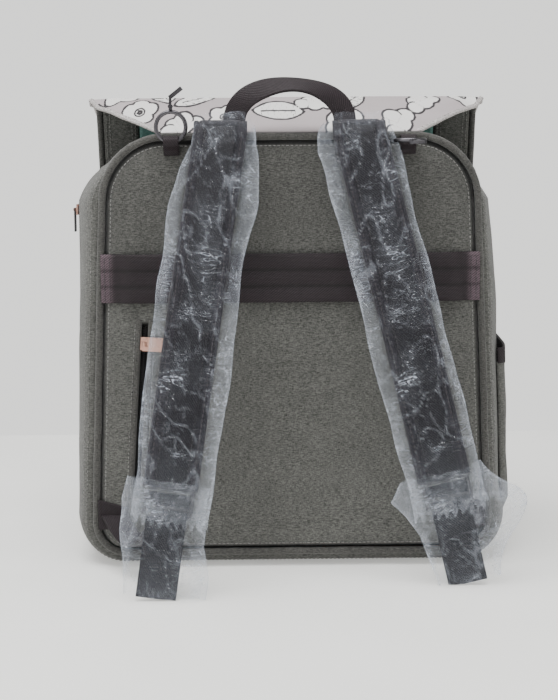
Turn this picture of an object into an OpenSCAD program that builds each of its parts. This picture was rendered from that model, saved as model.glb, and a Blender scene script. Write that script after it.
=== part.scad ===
/* [Bag body] */
// Distance between the outer faces of the back and front panels
bag_depth = 166; // [130:1:220]
// Width of both panels at the floor
base_width = 316; // [260:1:380]
// Width of the back panel where its top corners begin
shoulder_width = 292; // [240:1:340]
// Width of the front panel at its top
front_width = 324; // [270:1:380]
// Height of the seam along the top of the back panel
back_height = 341; // [280:1:420]
// Height of the top edge of the front panel
front_height = 372; // [310:1:460]
// Height of the side's rim where it meets the front panel
rim_height = 304; // [250:1:370]
// Radius of the back panel's top corners
shoulder_radius = 50; // [30:1:70]
// Radius of the lower corners of both panels
base_radius = 25; // [12:1:40]
// Height of the lower seams above the floor
seam_lift = 12; // [6:1:18]
// How far the sides swell past their seams
side_bulge = 19; // [6:1:28]
// How far the front panel swells past its seams
front_bulge = 5; // [0:0.5:14]
// Angle at which the top of the front panel leans back
top_lean = 15; // [5:1:22]

/* [Cloth and foam] */
// Thickness of the outer panels
panel_t = 3; // [2:0.5:5]
// Thickness of the sides and base
gusset_t = 2.5; // [1.5:0.5:4]
// Thickness of the foam behind the back panel
foam_t = 6; // [3:0.5:12]
// Thickness of the lining
lining_t = 0.8; // [0.5:0.1:1.5]
// Diameter of the piping
piping_d = 5.6; // [4:0.2:8]
// Thickness of the base board
board_t = 2.5; // [1.5:0.5:4]
// Thickness of webbing
webbing_t = 1.6; // [1:0.1:2.5]
// Width of the facing strips inside the top of the front panel
facing_width = 30; // [20:1:45]

/* [Pockets] */
// Height of the top of the front pocket
front_pocket_top = 208; // [150:1:240]
// Gap behind the middle of the front pocket
front_pocket_gap = 7; // [4:0.5:14]
// Height of the top of the side pocket
side_pocket_top = 172; // [120:1:220]
// Gap behind the middle of the side pocket
side_pocket_gap = 6.2; // [5.2:0.2:14]
// Height of the top of the slip pocket inside
slip_pocket_top = 215; // [160:1:260]
// Gap behind the slip pocket
slip_pocket_gap = 6; // [4:0.5:12]
// Height of each pocket's hem
hem_height = 12; // [8:1:20]

/* [Flap] */
// Width of the flap where it is sewn to the back panel
flap_root_width = 202; // [150:1:240]
// Width of the flap at its fold and below
flap_width = 342; // [290:1:400]
// Length of the drop of the flap below its fold
flap_drop = 190; // [120:1:240]
// How far each side of the drop narrows below the fold
flap_taper = 14; // [0:1:30]
// Radius of the lower corners of the flap
flap_radius = 36; // [10:1:60]
// Thickness of the flap's printed panel
flap_t = 1.4; // [1:0.1:2.5]
// Diameter of the magnetic snap
snap_d = 18; // [12:1:24]

/* [Luggage band and handle] */
// Height of the lower edge of the luggage band
band_z = 213; // [150:1:240]
// Width of the luggage band's webbing
band_width = 38; // [25:1:50]
// Gap behind the luggage band
band_gap = 5.4; // [4.5:0.1:9]
// Width of the grab handle over its legs
handle_width = 102; // [80:1:130]
// Height of the handle's loop above its pivot line
handle_rise = 36; // [28:1:60]
// Width of the handle's webbing
handle_webbing = 17; // [12:1:25]

/* [Shoulder straps] */
// Distance of each strap's root from the middle
strap_root_x = 53; // [49:1:70]
// Where the left strap's end stands, from the middle
left_end_x = 103; // [90:1:140]
// How far the left strap's end stands behind the back panel
left_end_out = 90; // [60:1:120]
// Where the right strap's end stands, from the middle
right_end_x = 133; // [90:1:140]
// How far the right strap's end stands behind the back panel
right_end_out = 58; // [45:1:120]
// How far each strap bows outward at its middle
strap_bow = 16; // [0:1:30]
// Width of a strap's pad
pad_width = 41; // [34:1:44]
// Thickness of a strap's pad
pad_t = 9; // [6:0.5:12]
// Width of the webbing on each strap's face
face_webbing = 25; // [20:1:32]
// Width of the lower webbing and the tail
tail_width = 30; // [20:1:32]
// Clearance between a pad and its packing sleeve
sleeve_gap = 1.0; // [0.6:0.1:2]
// Wall of the packing sleeve
film_t = 0.3; // [0.2:0.1:0.6]

/* [Rings] */
// Outer diameter of a ring
ring_d = 26; // [22:0.5:30]
// Diameter of a ring's wire
ring_wire = 3.2; // [2.4:0.1:4]
// Distance of each ring from the middle
ring_x = 91; // [88:0.5:100]
// Width of the tab that holds a ring
ring_tab_width = 12; // [8:0.5:16]
// Length of the long arm of a ring's lever
lever_arm = 12; // [8:0.5:16]

/* [Zips] */
// Length of the back pocket's zip
back_zip_length = 138; // [100:1:160]
// Slant of the back pocket's zip
back_zip_slant = 4; // [0:0.5:8]
// Length of the side zip
side_zip_length = 200; // [120:1:220]
// Width of a zip's coil
zip_coil = 3; // [2:0.5:5]
// Length of a zip's pull
pull_length = 17; // [10:1:24]

/* [Hidden] */

// One clearance keeps cloth off cloth, and one keeps what moves off what doesn't
cloth_gap = 0.2;
run_gap = 0.4;
// Smallest height of anything that hangs beside the bag
floor_gap = 2;

back_y = -bag_depth / 2;
front_y = bag_depth / 2;
piping_r = piping_d / 2;
gusset_back_y = back_y + piping_d + cloth_gap;
gusset_front_y = front_y - piping_d - cloth_gap;
panel_inset = piping_r + cloth_gap;
arc_steps = 6;
depth_steps = 10;

canvas_grey = [0.48, 0.48, 0.46];
webbing_brown = [0.27, 0.22, 0.24];
strap_charcoal = [0.25, 0.24, 0.27];
lining_teal = [0.28, 0.5, 0.46];
print_ground = [0.82, 0.8, 0.79];
gunmetal = [0.22, 0.21, 0.22];
rose_gold = [0.76, 0.6, 0.54];
film_clear = [0.85, 0.88, 0.92, 0.35];

// ---- small helpers ----
function mix(a, b, t) = a + (b - a) * t;
function unit(v) = v / norm(v);
function flip_x(v) = [-v[0], v[1], v[2]];
function flip_grid(grid) = [for (row = grid) [for (p = row) flip_x(p)]];
function shift_grid(grid, v) = [for (row = grid) [for (p = row) p + v]];

// Joins two equal grids of points, the outer and the inner skin, into one closed sheet
module sheet_solid(outer, inner) {
    rows = len(outer);
    cols = len(outer[0]);
    count = rows * cols;
    r_mid = floor((rows - 1) / 2);
    c_mid = floor((cols - 1) / 2);
    along = outer[r_mid][c_mid + 1] - outer[r_mid][c_mid];
    down = outer[r_mid + 1][c_mid] - outer[r_mid][c_mid];
    turned = cross(along, down) * (outer[r_mid][c_mid] - inner[r_mid][c_mid]) > 0;
    skin = [for (r = [0 : rows - 2], c = [0 : cols - 2])
        [r * cols + c, r * cols + c + 1, (r + 1) * cols + c + 1, (r + 1) * cols + c]];
    back_skin = [for (q = skin) [q[2] + count, q[1] + count, q[0] + count, q[3] + count]];
    last = (rows - 1) * cols;
    rim_rows = [for (c = [0 : cols - 2]) each [
        [c + 1, c, c + count, c + 1 + count],
        [last + c, last + c + 1, last + c + 1 + count, last + c + count]]];
    rim_cols = [for (r = [0 : rows - 2]) each [
        [r * cols, (r + 1) * cols, (r + 1) * cols + count, r * cols + count],
        [(r + 2) * cols - 1, (r + 1) * cols - 1, (r + 1) * cols - 1 + count, (r + 2) * cols - 1 + count]]];
    quads = concat(skin, back_skin, rim_rows, rim_cols);
    faces = [for (q = quads) each [[q[0], q[1], q[2]], [q[0], q[2], q[3]]]];
    polyhedron(
        points = [for (grid = [outer, inner], row = grid, p = row) p],
        faces = turned ? [for (f = faces) [f[2], f[1], f[0]]] : faces
    );
}

// A tube of radius r along a path in a plane of nearly constant y
module edge_tube(path, r, closed) {
    sides = 8;
    n = len(path);
    function at(i) = closed ? path[(i + n) % n] : path[max(0, min(n - 1, i))];
    function out_of(i) = let (t = at(i + 1) - at(i - 1)) unit([t[2], 0, -t[0]]);
    points = [for (i = [0 : n - 1], k = [0 : sides - 1])
        path[i] + out_of(i) * r * cos(k * 360 / sides) + [0, r * sin(k * 360 / sides), 0]];
    turns = closed ? n : n - 1;
    wall = [for (i = [0 : turns - 1], k = [0 : sides - 1])
        let (j = (i + 1) % n, m = (k + 1) % sides)
        each [[i * sides + k, i * sides + m, j * sides + m], [i * sides + k, j * sides + m, j * sides + k]]];
    caps = closed ? [] : [
        [for (k = [sides - 1 : -1 : 0]) k],
        [for (k = [0 : sides - 1]) (n - 1) * sides + k]];
    polyhedron(points = points, faces = concat(wall, caps));
}

// ---- the outline that the panels, piping and sides share ----
// Half width of the side seam at height z, from the back (t = 0) to the front (t = 1)
function half_width(z, t) =
    mix(base_width, mix(shoulder_width, front_width, t), min(1, z / (back_height - shoulder_radius))) / 2;

// A point of the seam on the right: s runs 0..1 round the lower corner, 1..2 up the side, 2..3 over the top
function seam_point(s, t) =
    let (low_z = seam_lift + base_radius, high_z = back_height - shoulder_radius)
    s <= 1 ? let (a = mix(-90, 0, s))
        [half_width(low_z, t) - base_radius + base_radius * cos(a), low_z + base_radius * sin(a)]
    : s <= 2 ? let (z = mix(low_z, high_z, s - 1)) [half_width(z, t), z]
    : let (a = mix(0, 90, s - 2))
        [half_width(high_z, t) - shoulder_radius + shoulder_radius * cos(a), high_z + shoulder_radius * sin(a)];

// The outward direction there
function seam_normal(s) =
    s <= 1 ? let (a = mix(-90, 0, s)) [cos(a), sin(a)]
    : s <= 2 ? [1, 0]
    : let (a = mix(0, 90, s - 2)) [cos(a), sin(a)];

// How full the swell is across the depth, as a rounded box: squarer under the base than at the sides
base_squareness = 5;
side_squareness = 3;
function fullness(s, t) =
    let (p = s <= 1 ? mix(base_squareness, side_squareness, s) : side_squareness)
    min(1, 1.01 * pow(1 - pow(abs(2 * t - 1), p), 1 / p));

// How far the swell stands out along the seam: the lift under the base, the side bulge, and little above the rim
swell_end = 0.4;
function swell(s) =
    s <= 1 ? mix(seam_lift, side_bulge, s)
    : s <= 2 ? side_bulge
    : mix(side_bulge, panel_t, min(1, (s - 2) / swell_end));

// The rim slopes from the front panel back to the top seam
function rim_share(s) =
    let (z = seam_point(s, 0)[1])
    z <= rim_height ? 1 : max(0.04, (back_height - z) / (back_height - rim_height));

// A point of the gusset's outer face, moved out by lift
function gusset_point(s, t, lift) =
    let (v = t * rim_share(s), p = seam_point(s, v), n = seam_normal(s),
        out = swell(s) * fullness(s, v) + lift)
    [p[0] + n[0] * out, mix(gusset_back_y, gusset_front_y, v), p[1] + n[1] * out];

function gusset_grid(s_list, t_list, lift) = [for (s = s_list) [for (t = t_list) gusset_point(s, t, lift)]];

side_s = concat(
    [for (i = [0 : arc_steps]) i / arc_steps],
    [for (i = [1 : 5]) 1 + i / 5],
    [for (i = [1 : arc_steps]) 2 + i / arc_steps]);
side_t = concat([0, 0.03], [for (i = [1 : depth_steps - 1]) i / depth_steps], [0.97, 1]);

// The back panel's outline, inset towards the middle, as half rows of [half width, z]
function back_rows(inset) = [for (s = side_s)
    let (p = seam_point(s, 0), n = seam_normal(s)) [p[0] - n[0] * inset, p[1] - n[1] * inset]];
function back_outline(inset) = let (half = back_rows(inset), n = len(half))
    concat(half, [for (i = [n - 1 : -1 : 0]) [-half[i][0], half[i][1]]]);

// ---- the front panel ----
front_rows = concat(
    [for (i = [0 : arc_steps]) let (p = seam_point(i / arc_steps, 1)) p[1]],
    [for (i = [1 : 5]) mix(seam_lift + base_radius, rim_height, i / 5)],
    [for (i = [1 : 4]) mix(rim_height, front_height, i / 4)]);
// Half width of the front panel's edge, inset from the seam all round the lower corner
function front_edge(z, inset) =
    let (up = z - seam_lift, r = base_radius - inset)
    half_width(max(z, seam_lift + base_radius), 1) - base_radius
    + (up < base_radius ? sqrt(max(0, r * r - pow(base_radius - up, 2))) : r);
function front_half(z) = front_edge(z, 0);
// How far the top of the front panel leans back at height z
function lean_back(z) = max(0, z - rim_height) * tan(top_lean);
// The front panel's outer face at height z and at share u of its half width
function front_face(u, z) =
    front_y - lean_back(z)
    + front_bulge * (1 - u * u) * sin(180 * (z - seam_lift) / (front_height - seam_lift));
function front_grid(rows, inset, back) = [for (z = rows) [for (i = [-6 : 6])
    let (u = i / 6, half = inset < base_radius ? front_edge(z, inset) : front_half(z) - inset)
    [u * half, front_face(u, z) - back, z]]];

// ---- the bag's body ----
module back_panel() {
    color(canvas_grey)
    difference() {
        translate([0, back_y + panel_t, 0])
            rotate([90, 0, 0]) linear_extrude(panel_t) polygon(back_outline(panel_inset));
        zip_place() translate([-zip_slot / 2, -1, -back_zip_length / 2])
            cube([zip_slot, panel_t + 2, back_zip_length]);
    }
}

module back_foam() {
    color("dimgray")
    translate([0, back_y + panel_t + foam_t, 0])
        rotate([90, 0, 0]) linear_extrude(foam_t) polygon(back_outline(piping_d + gusset_t + 1));
}

module back_piping() {
    color(canvas_grey * 0.8)
    edge_tube([for (p = back_outline(0)) [p[0], back_y + piping_r, p[1]]], piping_r, true);
}

module front_panel() {
    rows = [for (z = front_rows) max(z, seam_lift + panel_inset)];
    clean = [for (i = [0 : len(rows) - 1]) if (i == 0 || rows[i] > rows[i - 1] + 0.5) rows[i]];
    color(canvas_grey)
    sheet_solid(front_grid(clean, panel_inset, 0), front_grid(clean, panel_inset, panel_t));
}

module front_piping() {
    half = [for (z = front_rows) [front_half(z), front_face(1, z) - piping_r, z]];
    path = concat([for (i = [len(half) - 1 : -1 : 0]) flip_x(half[i])], half);
    color(canvas_grey * 0.8) edge_tube(path, piping_r, false);
}

module gusset_side(side) {
    outer = gusset_grid(side_s, side_t, 0);
    inner = gusset_grid(side_s, side_t, -gusset_t);
    color(canvas_grey)
    if (side < 0) sheet_solid(flip_grid(outer), flip_grid(inner));
    else sheet_solid(outer, inner);
}
module gusset_left() { gusset_side(-1); }
module gusset_right() { gusset_side(1); }

// The base runs between the lower corners, and its middle stands on the floor
base_end = seam_point(0, 0.5)[0] - 0.5;
function base_grid(lift) = [for (x = [-1, -0.5, 0, 0.5, 1]) [for (t = side_t)
    let (p = gusset_point(0, t, lift)) [x * (p[0] - 0.5), p[1], p[2]]]];
module base_panel() {
    color(canvas_grey) sheet_solid(base_grid(0), base_grid(-gusset_t));
}

board_share = 0.36;
board_z = seam_lift * (1 - fullness(0, 0.5 - board_share)) + gusset_t + 2 * cloth_gap;
module base_board() {
    half_x = base_end - 6;
    half_y = (gusset_front_y - gusset_back_y) * board_share;
    color("saddlebrown")
    translate([-half_x, -half_y, board_z]) cube([2 * half_x, 2 * half_y, board_t]);
}

function facing_grid(lift) = [for (i = [0 : 4])
    let (z = mix(rim_height + 2, front_height - 1, i / 4), half = front_half(z) - panel_inset)
    [for (u = [0, 0.5, 1]) let (x = half - u * facing_width)
        [x, front_face(x / front_half(z), z) - panel_t - cloth_gap - lift, z]]];
module facing_side(side) {
    color(canvas_grey * 0.85)
    if (side < 0) sheet_solid(flip_grid(facing_grid(0)), flip_grid(facing_grid(webbing_t)));
    else sheet_solid(facing_grid(0), facing_grid(webbing_t));
}
module facing_left() { facing_side(-1); }
module facing_right() { facing_side(1); }

lining_inset = gusset_t + piping_d + 2;
lining_back_y = back_y + panel_t + foam_t + cloth_gap;
module lining_back() {
    color(lining_teal)
    translate([0, lining_back_y + lining_t, 0])
        rotate([90, 0, 0]) linear_extrude(lining_t) polygon(back_outline(lining_inset));
}

module lining_front() {
    rows = [for (z = front_rows) if (z > lining_inset + seam_lift && z < front_height - 1) z];
    back = panel_t + cloth_gap;
    inset = facing_width + panel_inset + cloth_gap;
    color(lining_teal)
    sheet_solid(front_grid(rows, inset, back), front_grid(rows, inset, back + lining_t));
}

module lining_gusset() {
    ts = [for (t = side_t) mix(0.08, 0.92, t)];
    right = [for (s = side_s) if (s > 0 && s < 2.6) s];
    lift = -board_z - board_t - cloth_gap;
    half_out = gusset_grid(right, ts, lift);
    half_in = gusset_grid(right, ts, lift - lining_t);
    turn = [for (i = [len(right) - 1 : -1 : 0]) i];
    color(lining_teal)
    sheet_solid(
        concat([for (i = turn) [for (p = half_out[i]) flip_x(p)]], half_out),
        concat([for (i = turn) [for (p = half_in[i]) flip_x(p)]], half_in));
}

// The slip pocket stands off the back lining, and closes onto it at its sides and foot
slip_half = shoulder_width / 2 - 38;
slip_low = 40;
module slip_pocket() {
    y0 = lining_back_y + lining_t + cloth_gap;
    function off(u, z) = slip_pocket_gap * min(1, (1 - pow(abs(u), 6)) * 3) * min(1, (z - slip_low) / 10);
    grid = [for (z = [slip_low, slip_low + 10, mix(slip_low, slip_pocket_top, 0.5), slip_pocket_top])
        [for (u = [-1, -0.96, -0.9, 0, 0.9, 0.96, 1]) [u * slip_half, y0 + off(u, z), z]]];
    color(lining_teal) sheet_solid(shift_grid(grid, [0, lining_t, 0]), grid);
}

// ---- luggage band ----
band_half = half_width(band_z, 0) - panel_inset - 1;
module luggage_band() {
    end = 10;
    t = webbing_t;
    g = band_gap;
    color(webbing_brown)
    translate([0, back_y, band_z]) linear_extrude(band_width)
    polygon([
        [-band_half, 0], [-band_half, -t], [-band_half + end, -t], [-band_half + 2 * end, -g - t],
        [band_half - 2 * end, -g - t], [band_half - end, -t], [band_half, -t], [band_half, 0],
        [band_half - end, 0], [band_half - 2 * end, -g], [-band_half + 2 * end, -g], [-band_half + end, 0]]);
}

// ---- grab handle ----
strap_top_z = back_height + 2;
handle_pivot_z = strap_top_z + 7;
handle_y = back_y - 1.6;
handle_t = 2;
leg_x = handle_width / 2 - handle_webbing / 2;
module handle_root() {
    leg_h = handle_pivot_z - handle_t / 2 - cloth_gap - (back_height - 18);
    color(webbing_brown)
    for (side = [-1, 1])
        translate([side * leg_x - handle_webbing / 2, back_y - handle_t - 0.6, back_height - 18]) {
            cube([handle_webbing, handle_t, leg_h]);
            cube([handle_webbing, handle_t + 0.6, 12]);
        }
}

module grab_handle() {
    steps = 20;
    function arch(rx, rz) = [for (i = [0 : steps]) [rx * cos(180 * i / steps), rz * sin(180 * i / steps)]];
    inner_half = handle_width / 2 - handle_webbing;
    inner_rise = handle_rise - 12;
    color(webbing_brown)
    translate([0, back_y - 0.6, handle_pivot_z]) rotate([90, 0, 0]) linear_extrude(handle_t)
    difference() {
        polygon(arch(handle_width / 2, handle_rise));
        translate([0, -0.1]) polygon(arch(inner_half, inner_rise));
    }
}

// ---- flap ----
seat_z = back_height + 1.6;
flap_pivot = [0, back_y + piping_d + 1.5, seat_z];
fold_y = front_y - lean_back(front_height) + 1;
fold_z = front_height + 3;
flap_rows = [for (i = [0 : 6]) i / 6];
// The side edges spread nearly straight from the root to the fold
function flap_half(v) = mix(flap_root_width, flap_width, v) / 2 + 4 * sin(180 * v);
function flap_top_grid(lift) = [for (v = flap_rows) [for (i = [-6 : 6])
    let (u = i / 6, y = mix(flap_pivot[1] + 0.4, fold_y - 0.4, v))
    [u * (flap_half(v) - 1), y, mix(seat_z, fold_z, v) + 2 * sin(180 * v) + lift]]];
module flap_top_panel() {
    low = lining_t + cloth_gap;
    color(print_ground) sheet_solid(flap_top_grid(low + flap_t), flap_top_grid(low));
}
module flap_top_lining() {
    color(lining_teal) sheet_solid(flap_top_grid(lining_t), flap_top_grid(0));
}
module flap_binding() {
    function rib(side, lift) = [for (v = flap_rows) [for (w = [0, 1.2])
        let (y = mix(flap_pivot[1] + 0.4, fold_y - 0.4, v))
        [side * (flap_half(v) - 1 + 0.05 + w), y, mix(seat_z, fold_z, v) + 2 * sin(180 * v) + lift]]];
    color("gainsboro") {
        sheet_solid(rib(-1, lining_t + cloth_gap + flap_t), rib(-1, 0));
        sheet_solid(rib(1, lining_t + cloth_gap + flap_t), rib(1, 0));
    }
}

// The drop hangs clear of the front panel and of the pocket on it
drop_low = fold_z - flap_drop;
pocket_proud = front_pocket_gap + panel_t + 3;
proud_from = front_pocket_top + 60;
proud_over = 50;
function drop_off(z) = 2 + pocket_proud * max(0, min(1, (proud_from - z) / proud_over));
taper_over = 40;
drop_rows = concat([fold_z - 1, fold_z - taper_over / 2],
    [for (i = [0 : 6]) mix(fold_z - taper_over, drop_low, i / 6)]);
function drop_half(z) =
    let (up = z - drop_low, full = flap_width / 2 - 2 - flap_taper * min(1, (fold_z - z) / taper_over))
    full - (up < flap_radius ? flap_radius - sqrt(max(0, flap_radius * flap_radius - pow(flap_radius - up, 2))) : 0);
function drop_grid(lift) = [for (z = drop_rows) [for (i = [-6 : 6])
    let (u = i / 6, zz = min(z, front_height))
    [u * max(drop_half(z), 60), front_face(min(1, abs(u)) , zz) + drop_off(z) + lift, z]]];
module flap_front_panel() {
    low = lining_t + cloth_gap;
    color(print_ground) sheet_solid(drop_grid(low + flap_t), drop_grid(low));
}
module flap_front_lining() {
    color(lining_teal) sheet_solid(drop_grid(lining_t), drop_grid(0));
}

// ---- snap ----
snap_z = drop_low + snap_d - 2;
snap_back_y = front_face(0, snap_z) + front_pocket_gap + panel_t + cloth_gap;
snap_front_y = front_face(0, snap_z) + drop_off(snap_z) - 2 * cloth_gap;
module snap_disc(y0, y1) {
    translate([0, y1, snap_z]) rotate([90, 0, 0]) cylinder(d = snap_d, h = y1 - y0, $fn = 48);
}
module snap_socket() { color(gunmetal) snap_disc(snap_back_y - cloth_gap, snap_back_y + 0.8); }
module snap_stud() { color(gunmetal) snap_disc(snap_back_y + 0.8 + run_gap, snap_front_y); }

// ---- pockets ----
front_pocket_low = seam_lift + base_radius;
function front_pocket_off(u, z) =
    2 * cloth_gap + front_pocket_gap * min(1, (1 - pow(abs(u), 6)) * 3) * min(1, (z - front_pocket_low) / 12);
function front_pocket_grid(rows, lift) = [for (z = rows) [for (u = [-1, -0.96, -0.9, -0.45, 0, 0.45, 0.9, 0.96, 1])
    [u * (front_half(z) - 14), front_face(u, z) + front_pocket_off(u, z) + lift, z]]];
module front_pocket() {
    top = front_pocket_top - hem_height;
    rows = concat([front_pocket_low], [for (i = [0 : 5]) mix(front_pocket_low + 12, top, i / 5)]);
    color(canvas_grey) sheet_solid(front_pocket_grid(rows, panel_t - 1), front_pocket_grid(rows, 0));
}
module front_pocket_hem() {
    rows = [front_pocket_top - hem_height, front_pocket_top];
    color(webbing_brown) sheet_solid(front_pocket_grid(rows, panel_t - 0.5), front_pocket_grid(rows, 0));
}

side_pocket_t = [0.1, 0.14, 0.2, 0.35, 0.5, 0.65, 0.8, 0.86, 0.9];
side_pocket_low = seam_lift + base_radius;
function side_s_at(z) = 1 + (z - seam_lift - base_radius) / (back_height - shoulder_radius - seam_lift - base_radius);
function side_pocket_off(t, z) =
    cloth_gap + side_pocket_gap * min(1, (1 - pow(abs(t - 0.5) / 0.4, 6)) * 3) * min(1, (z - side_pocket_low) / 12);
function side_pocket_grid(rows, lift) = [for (z = rows) [for (t = side_pocket_t)
    gusset_point(side_s_at(z), t, side_pocket_off(t, z) + lift)]];
module side_pocket() {
    top = side_pocket_top - hem_height;
    rows = concat([side_pocket_low], [for (i = [0 : 3]) mix(side_pocket_low + 12, top, i / 3)]);
    color(canvas_grey) sheet_solid(side_pocket_grid(rows, panel_t - 1), side_pocket_grid(rows, 0));
}
module side_pocket_hem() {
    rows = [side_pocket_top - hem_height, side_pocket_top];
    color(webbing_brown) sheet_solid(side_pocket_grid(rows, panel_t - 0.5), side_pocket_grid(rows, 0));
}

// ---- back zip, in a slot of the back panel ----
zip_slot = 6;
zip_mid = [-half_width(128, 0) + 34, 0, 128];
module zip_place() { translate([zip_mid[0], back_y, zip_mid[2]]) rotate([0, back_zip_slant, 0]) children(); }
module back_zip_tape() {
    color("dimgray") zip_place() translate([-zip_slot / 2, 1.6, -back_zip_length / 2])
        cube([zip_slot, 0.8, back_zip_length]);
}
module back_zip_teeth() {
    color(rose_gold) zip_place() translate([-zip_coil / 2, 0.4, -back_zip_length / 2 + 1])
        cube([zip_coil, 1.2, back_zip_length - 2]);
}

// A slider lies on the panel's face, and its bail holds a pull on a pin; local +Y points into the cloth
pin_r = 0.8;
pin_play = 0.08;
slider_w = 9;
slider_h = 10;
slider_t = 1.2;
slider_seat = 0.3;
pull_axis = 3.1;
bail_r = 1.6;
bail_h = 3;
pull_t = 1.2;
module slider_body() {
    translate([-slider_w / 2, -slider_seat - slider_t, -slider_h / 2]) cube([slider_w, slider_t, slider_h]);
    translate([0, 0, -bail_h / 2])
    difference() {
        union() {
            translate([0, -pull_axis, 0]) cylinder(r = bail_r, h = bail_h, $fn = 32);
            translate([-bail_r, -pull_axis, 0]) cube([2 * bail_r, pull_axis - slider_seat - slider_t, bail_h]);
        }
        translate([0, -pull_axis, -1]) cylinder(r = pin_r + pin_play, h = bail_h + 2, $fn = 24);
    }
}
// The pull is a flat plate whose two arms pass the bail, and a pin joins the arms through it
module slider_pull(length, width) {
    gap = bail_h + 0.7;
    start = 1.2;
    bar = bail_r + 1.4;
    translate([0, -pull_axis - pull_t / 2, 0])
    difference() {
        translate([-start, 0, -width / 2]) cube([length, pull_t, width]);
        translate([-start - 1, -1, -gap / 2]) cube([start + 1 + bar, pull_t + 2, gap]);
    }
    translate([0, -pull_axis, -gap / 2 - 0.6]) cylinder(r = pin_r, h = gap + 1.2, $fn = 24);
}
back_slider_up = back_zip_length / 2 - 16;
module back_zip_slider() { color(rose_gold) zip_place() translate([0, 0, back_slider_up]) slider_body(); }
module back_zip_pull() {
    color(rose_gold) zip_place() translate([0, 0, back_slider_up]) slider_pull(pull_length, 11);
}

// ---- side zip, on the flat middle of the left gusset ----
zip_t = 0.72;
side_zip_high = rim_height - 14;
side_zip_low = side_zip_high - side_zip_length;
function zip_edge(z, t, lift) = flip_x(gusset_point(side_s_at(z), t, lift));
function zip_strip(low, high, half_t, lift) = [for (z = [low, high]) [for (t = [zip_t - half_t, zip_t + half_t])
    zip_edge(z, t, lift)]];
module side_zip_tape() {
    color("dimgray") sheet_solid(
        zip_strip(side_zip_low, side_zip_high, 0.04, cloth_gap + 0.8),
        zip_strip(side_zip_low, side_zip_high, 0.04, cloth_gap));
}
module side_zip_teeth() {
    color(rose_gold) sheet_solid(
        zip_strip(side_zip_low + 1, side_zip_high - 1, 0.01, 2 * cloth_gap + 2),
        zip_strip(side_zip_low + 1, side_zip_high - 1, 0.01, 2 * cloth_gap + 0.8));
}
side_slider_z = side_zip_high - 8;
side_zip_dir = unit(zip_edge(side_zip_high, zip_t, 0) - zip_edge(side_zip_low, zip_t, 0));
side_tilt = asin(side_zip_dir[0]);
module side_place() {
    translate(zip_edge(side_slider_z, zip_t, 2 * cloth_gap + 2)) rotate([0, side_tilt, 0]) rotate([0, 0, -90]) children();
}
module side_zip_slider() { color(rose_gold) side_place() rotate([0, 90, 0]) slider_body(); }
module side_zip_pull() { color("#3a3034") side_place() rotate([0, 90, 0]) slider_pull(pull_length + 3, 7); }

// ---- shoulder straps ----
strap_y = back_y - 7.5 - pad_t / 2;
strap_root = [strap_root_x, strap_y, strap_top_z];
left_end = [left_end_x, back_y - left_end_out, floor_gap];
right_end = [right_end_x, back_y - right_end_out, floor_gap];
pad_share = 0.76;
function strap_at(end, u) = mix(strap_root, end, u) + [0, -strap_bow * sin(180 * u), 0];
function strap_across(end, u) = let (d = strap_at(end, u + 0.01) - strap_at(end, u - 0.01))
    unit(cross([0, -1, 0], d));
function strap_out(end, u) = let (d = strap_at(end, u + 0.01) - strap_at(end, u - 0.01))
    unit(cross(d, strap_across(end, u)));
function strap_grid(end, from, to, width, lift) = [for (i = [0 : 8])
    let (u = mix(from, to, i / 8))
    [for (w = [-0.5, 0.5]) strap_at(end, u) + strap_across(end, u) * w * width + strap_out(end, u) * lift]];
module strap_sheet(end, side, from, to, width, low, high) {
    outer = strap_grid(end, from, to, width, high);
    inner = strap_grid(end, from, to, width, low);
    if (side < 0) sheet_solid(flip_grid(outer), flip_grid(inner));
    else sheet_solid(outer, inner);
}

module strap_pad(end, side) {
    color(strap_charcoal) strap_sheet(end, side, 0.01, pad_share, pad_width, -pad_t / 2, pad_t / 2);
}
module strap_webbing(end, side) {
    color(webbing_brown)
    strap_sheet(end, side, 0.01, pad_share - 0.01, face_webbing, pad_t / 2 + cloth_gap, pad_t / 2 + 0.8);
}
lock_share = pad_share + 0.03;
module strap_lock(end, side) {
    color("#2a282b")
    strap_sheet(end, side, pad_share + 0.002, lock_share + 0.03, tail_width + 6, -2.5, 3);
}
module strap_tail(end, side) {
    color(webbing_brown)
    strap_sheet(end, side, lock_share + 0.032, 1, tail_width, -webbing_t / 2, webbing_t / 2);
}
// The packing sleeve is a thin flat tube round the pad, open at both ends
module strap_sleeve(end, side) {
    half = pad_t / 2 + sleeve_gap;
    color(film_clear)
    difference() {
        strap_sheet(end, side, 0, pad_share - 0.005, pad_width + 2 * (sleeve_gap + film_t), -half - film_t,
            half + film_t);
        strap_sheet(end, side, -0.01, pad_share + 0.01, pad_width + 2 * sleeve_gap, -half, half);
    }
}
module strap_pad_left() { strap_pad(left_end, -1); }
module strap_pad_right() { strap_pad(right_end, 1); }
module strap_webbing_left() { strap_webbing(left_end, -1); }
module strap_webbing_right() { strap_webbing(right_end, 1); }
module strap_lock_left() { strap_lock(left_end, -1); }
module strap_lock_right() { strap_lock(right_end, 1); }
module strap_tail_left() { strap_tail(left_end, -1); }
module strap_tail_right() { strap_tail(right_end, 1); }
module strap_sleeve_left() { strap_sleeve(left_end, -1); }
module strap_sleeve_right() { strap_sleeve(right_end, 1); }

// ---- lower corners: a tab on the panel, and webbing from it towards the strap's lock ----
tab_z = 44;
tab_size = 24;
module corner_tab(side) {
    x = half_width(tab_z, 0) - panel_inset;
    color(webbing_brown)
    translate([0, back_y, 0]) rotate([90, 0, 0]) linear_extrude(webbing_t)
        polygon([[side * x, tab_z - tab_size / 2], [side * x, tab_z + tab_size / 2],
            [side * (x - tab_size), tab_z + tab_size / 4], [side * (x - tab_size), tab_z - tab_size / 2]]);
}
module corner_tab_left() { corner_tab(-1); }
module corner_tab_right() { corner_tab(1); }

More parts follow.
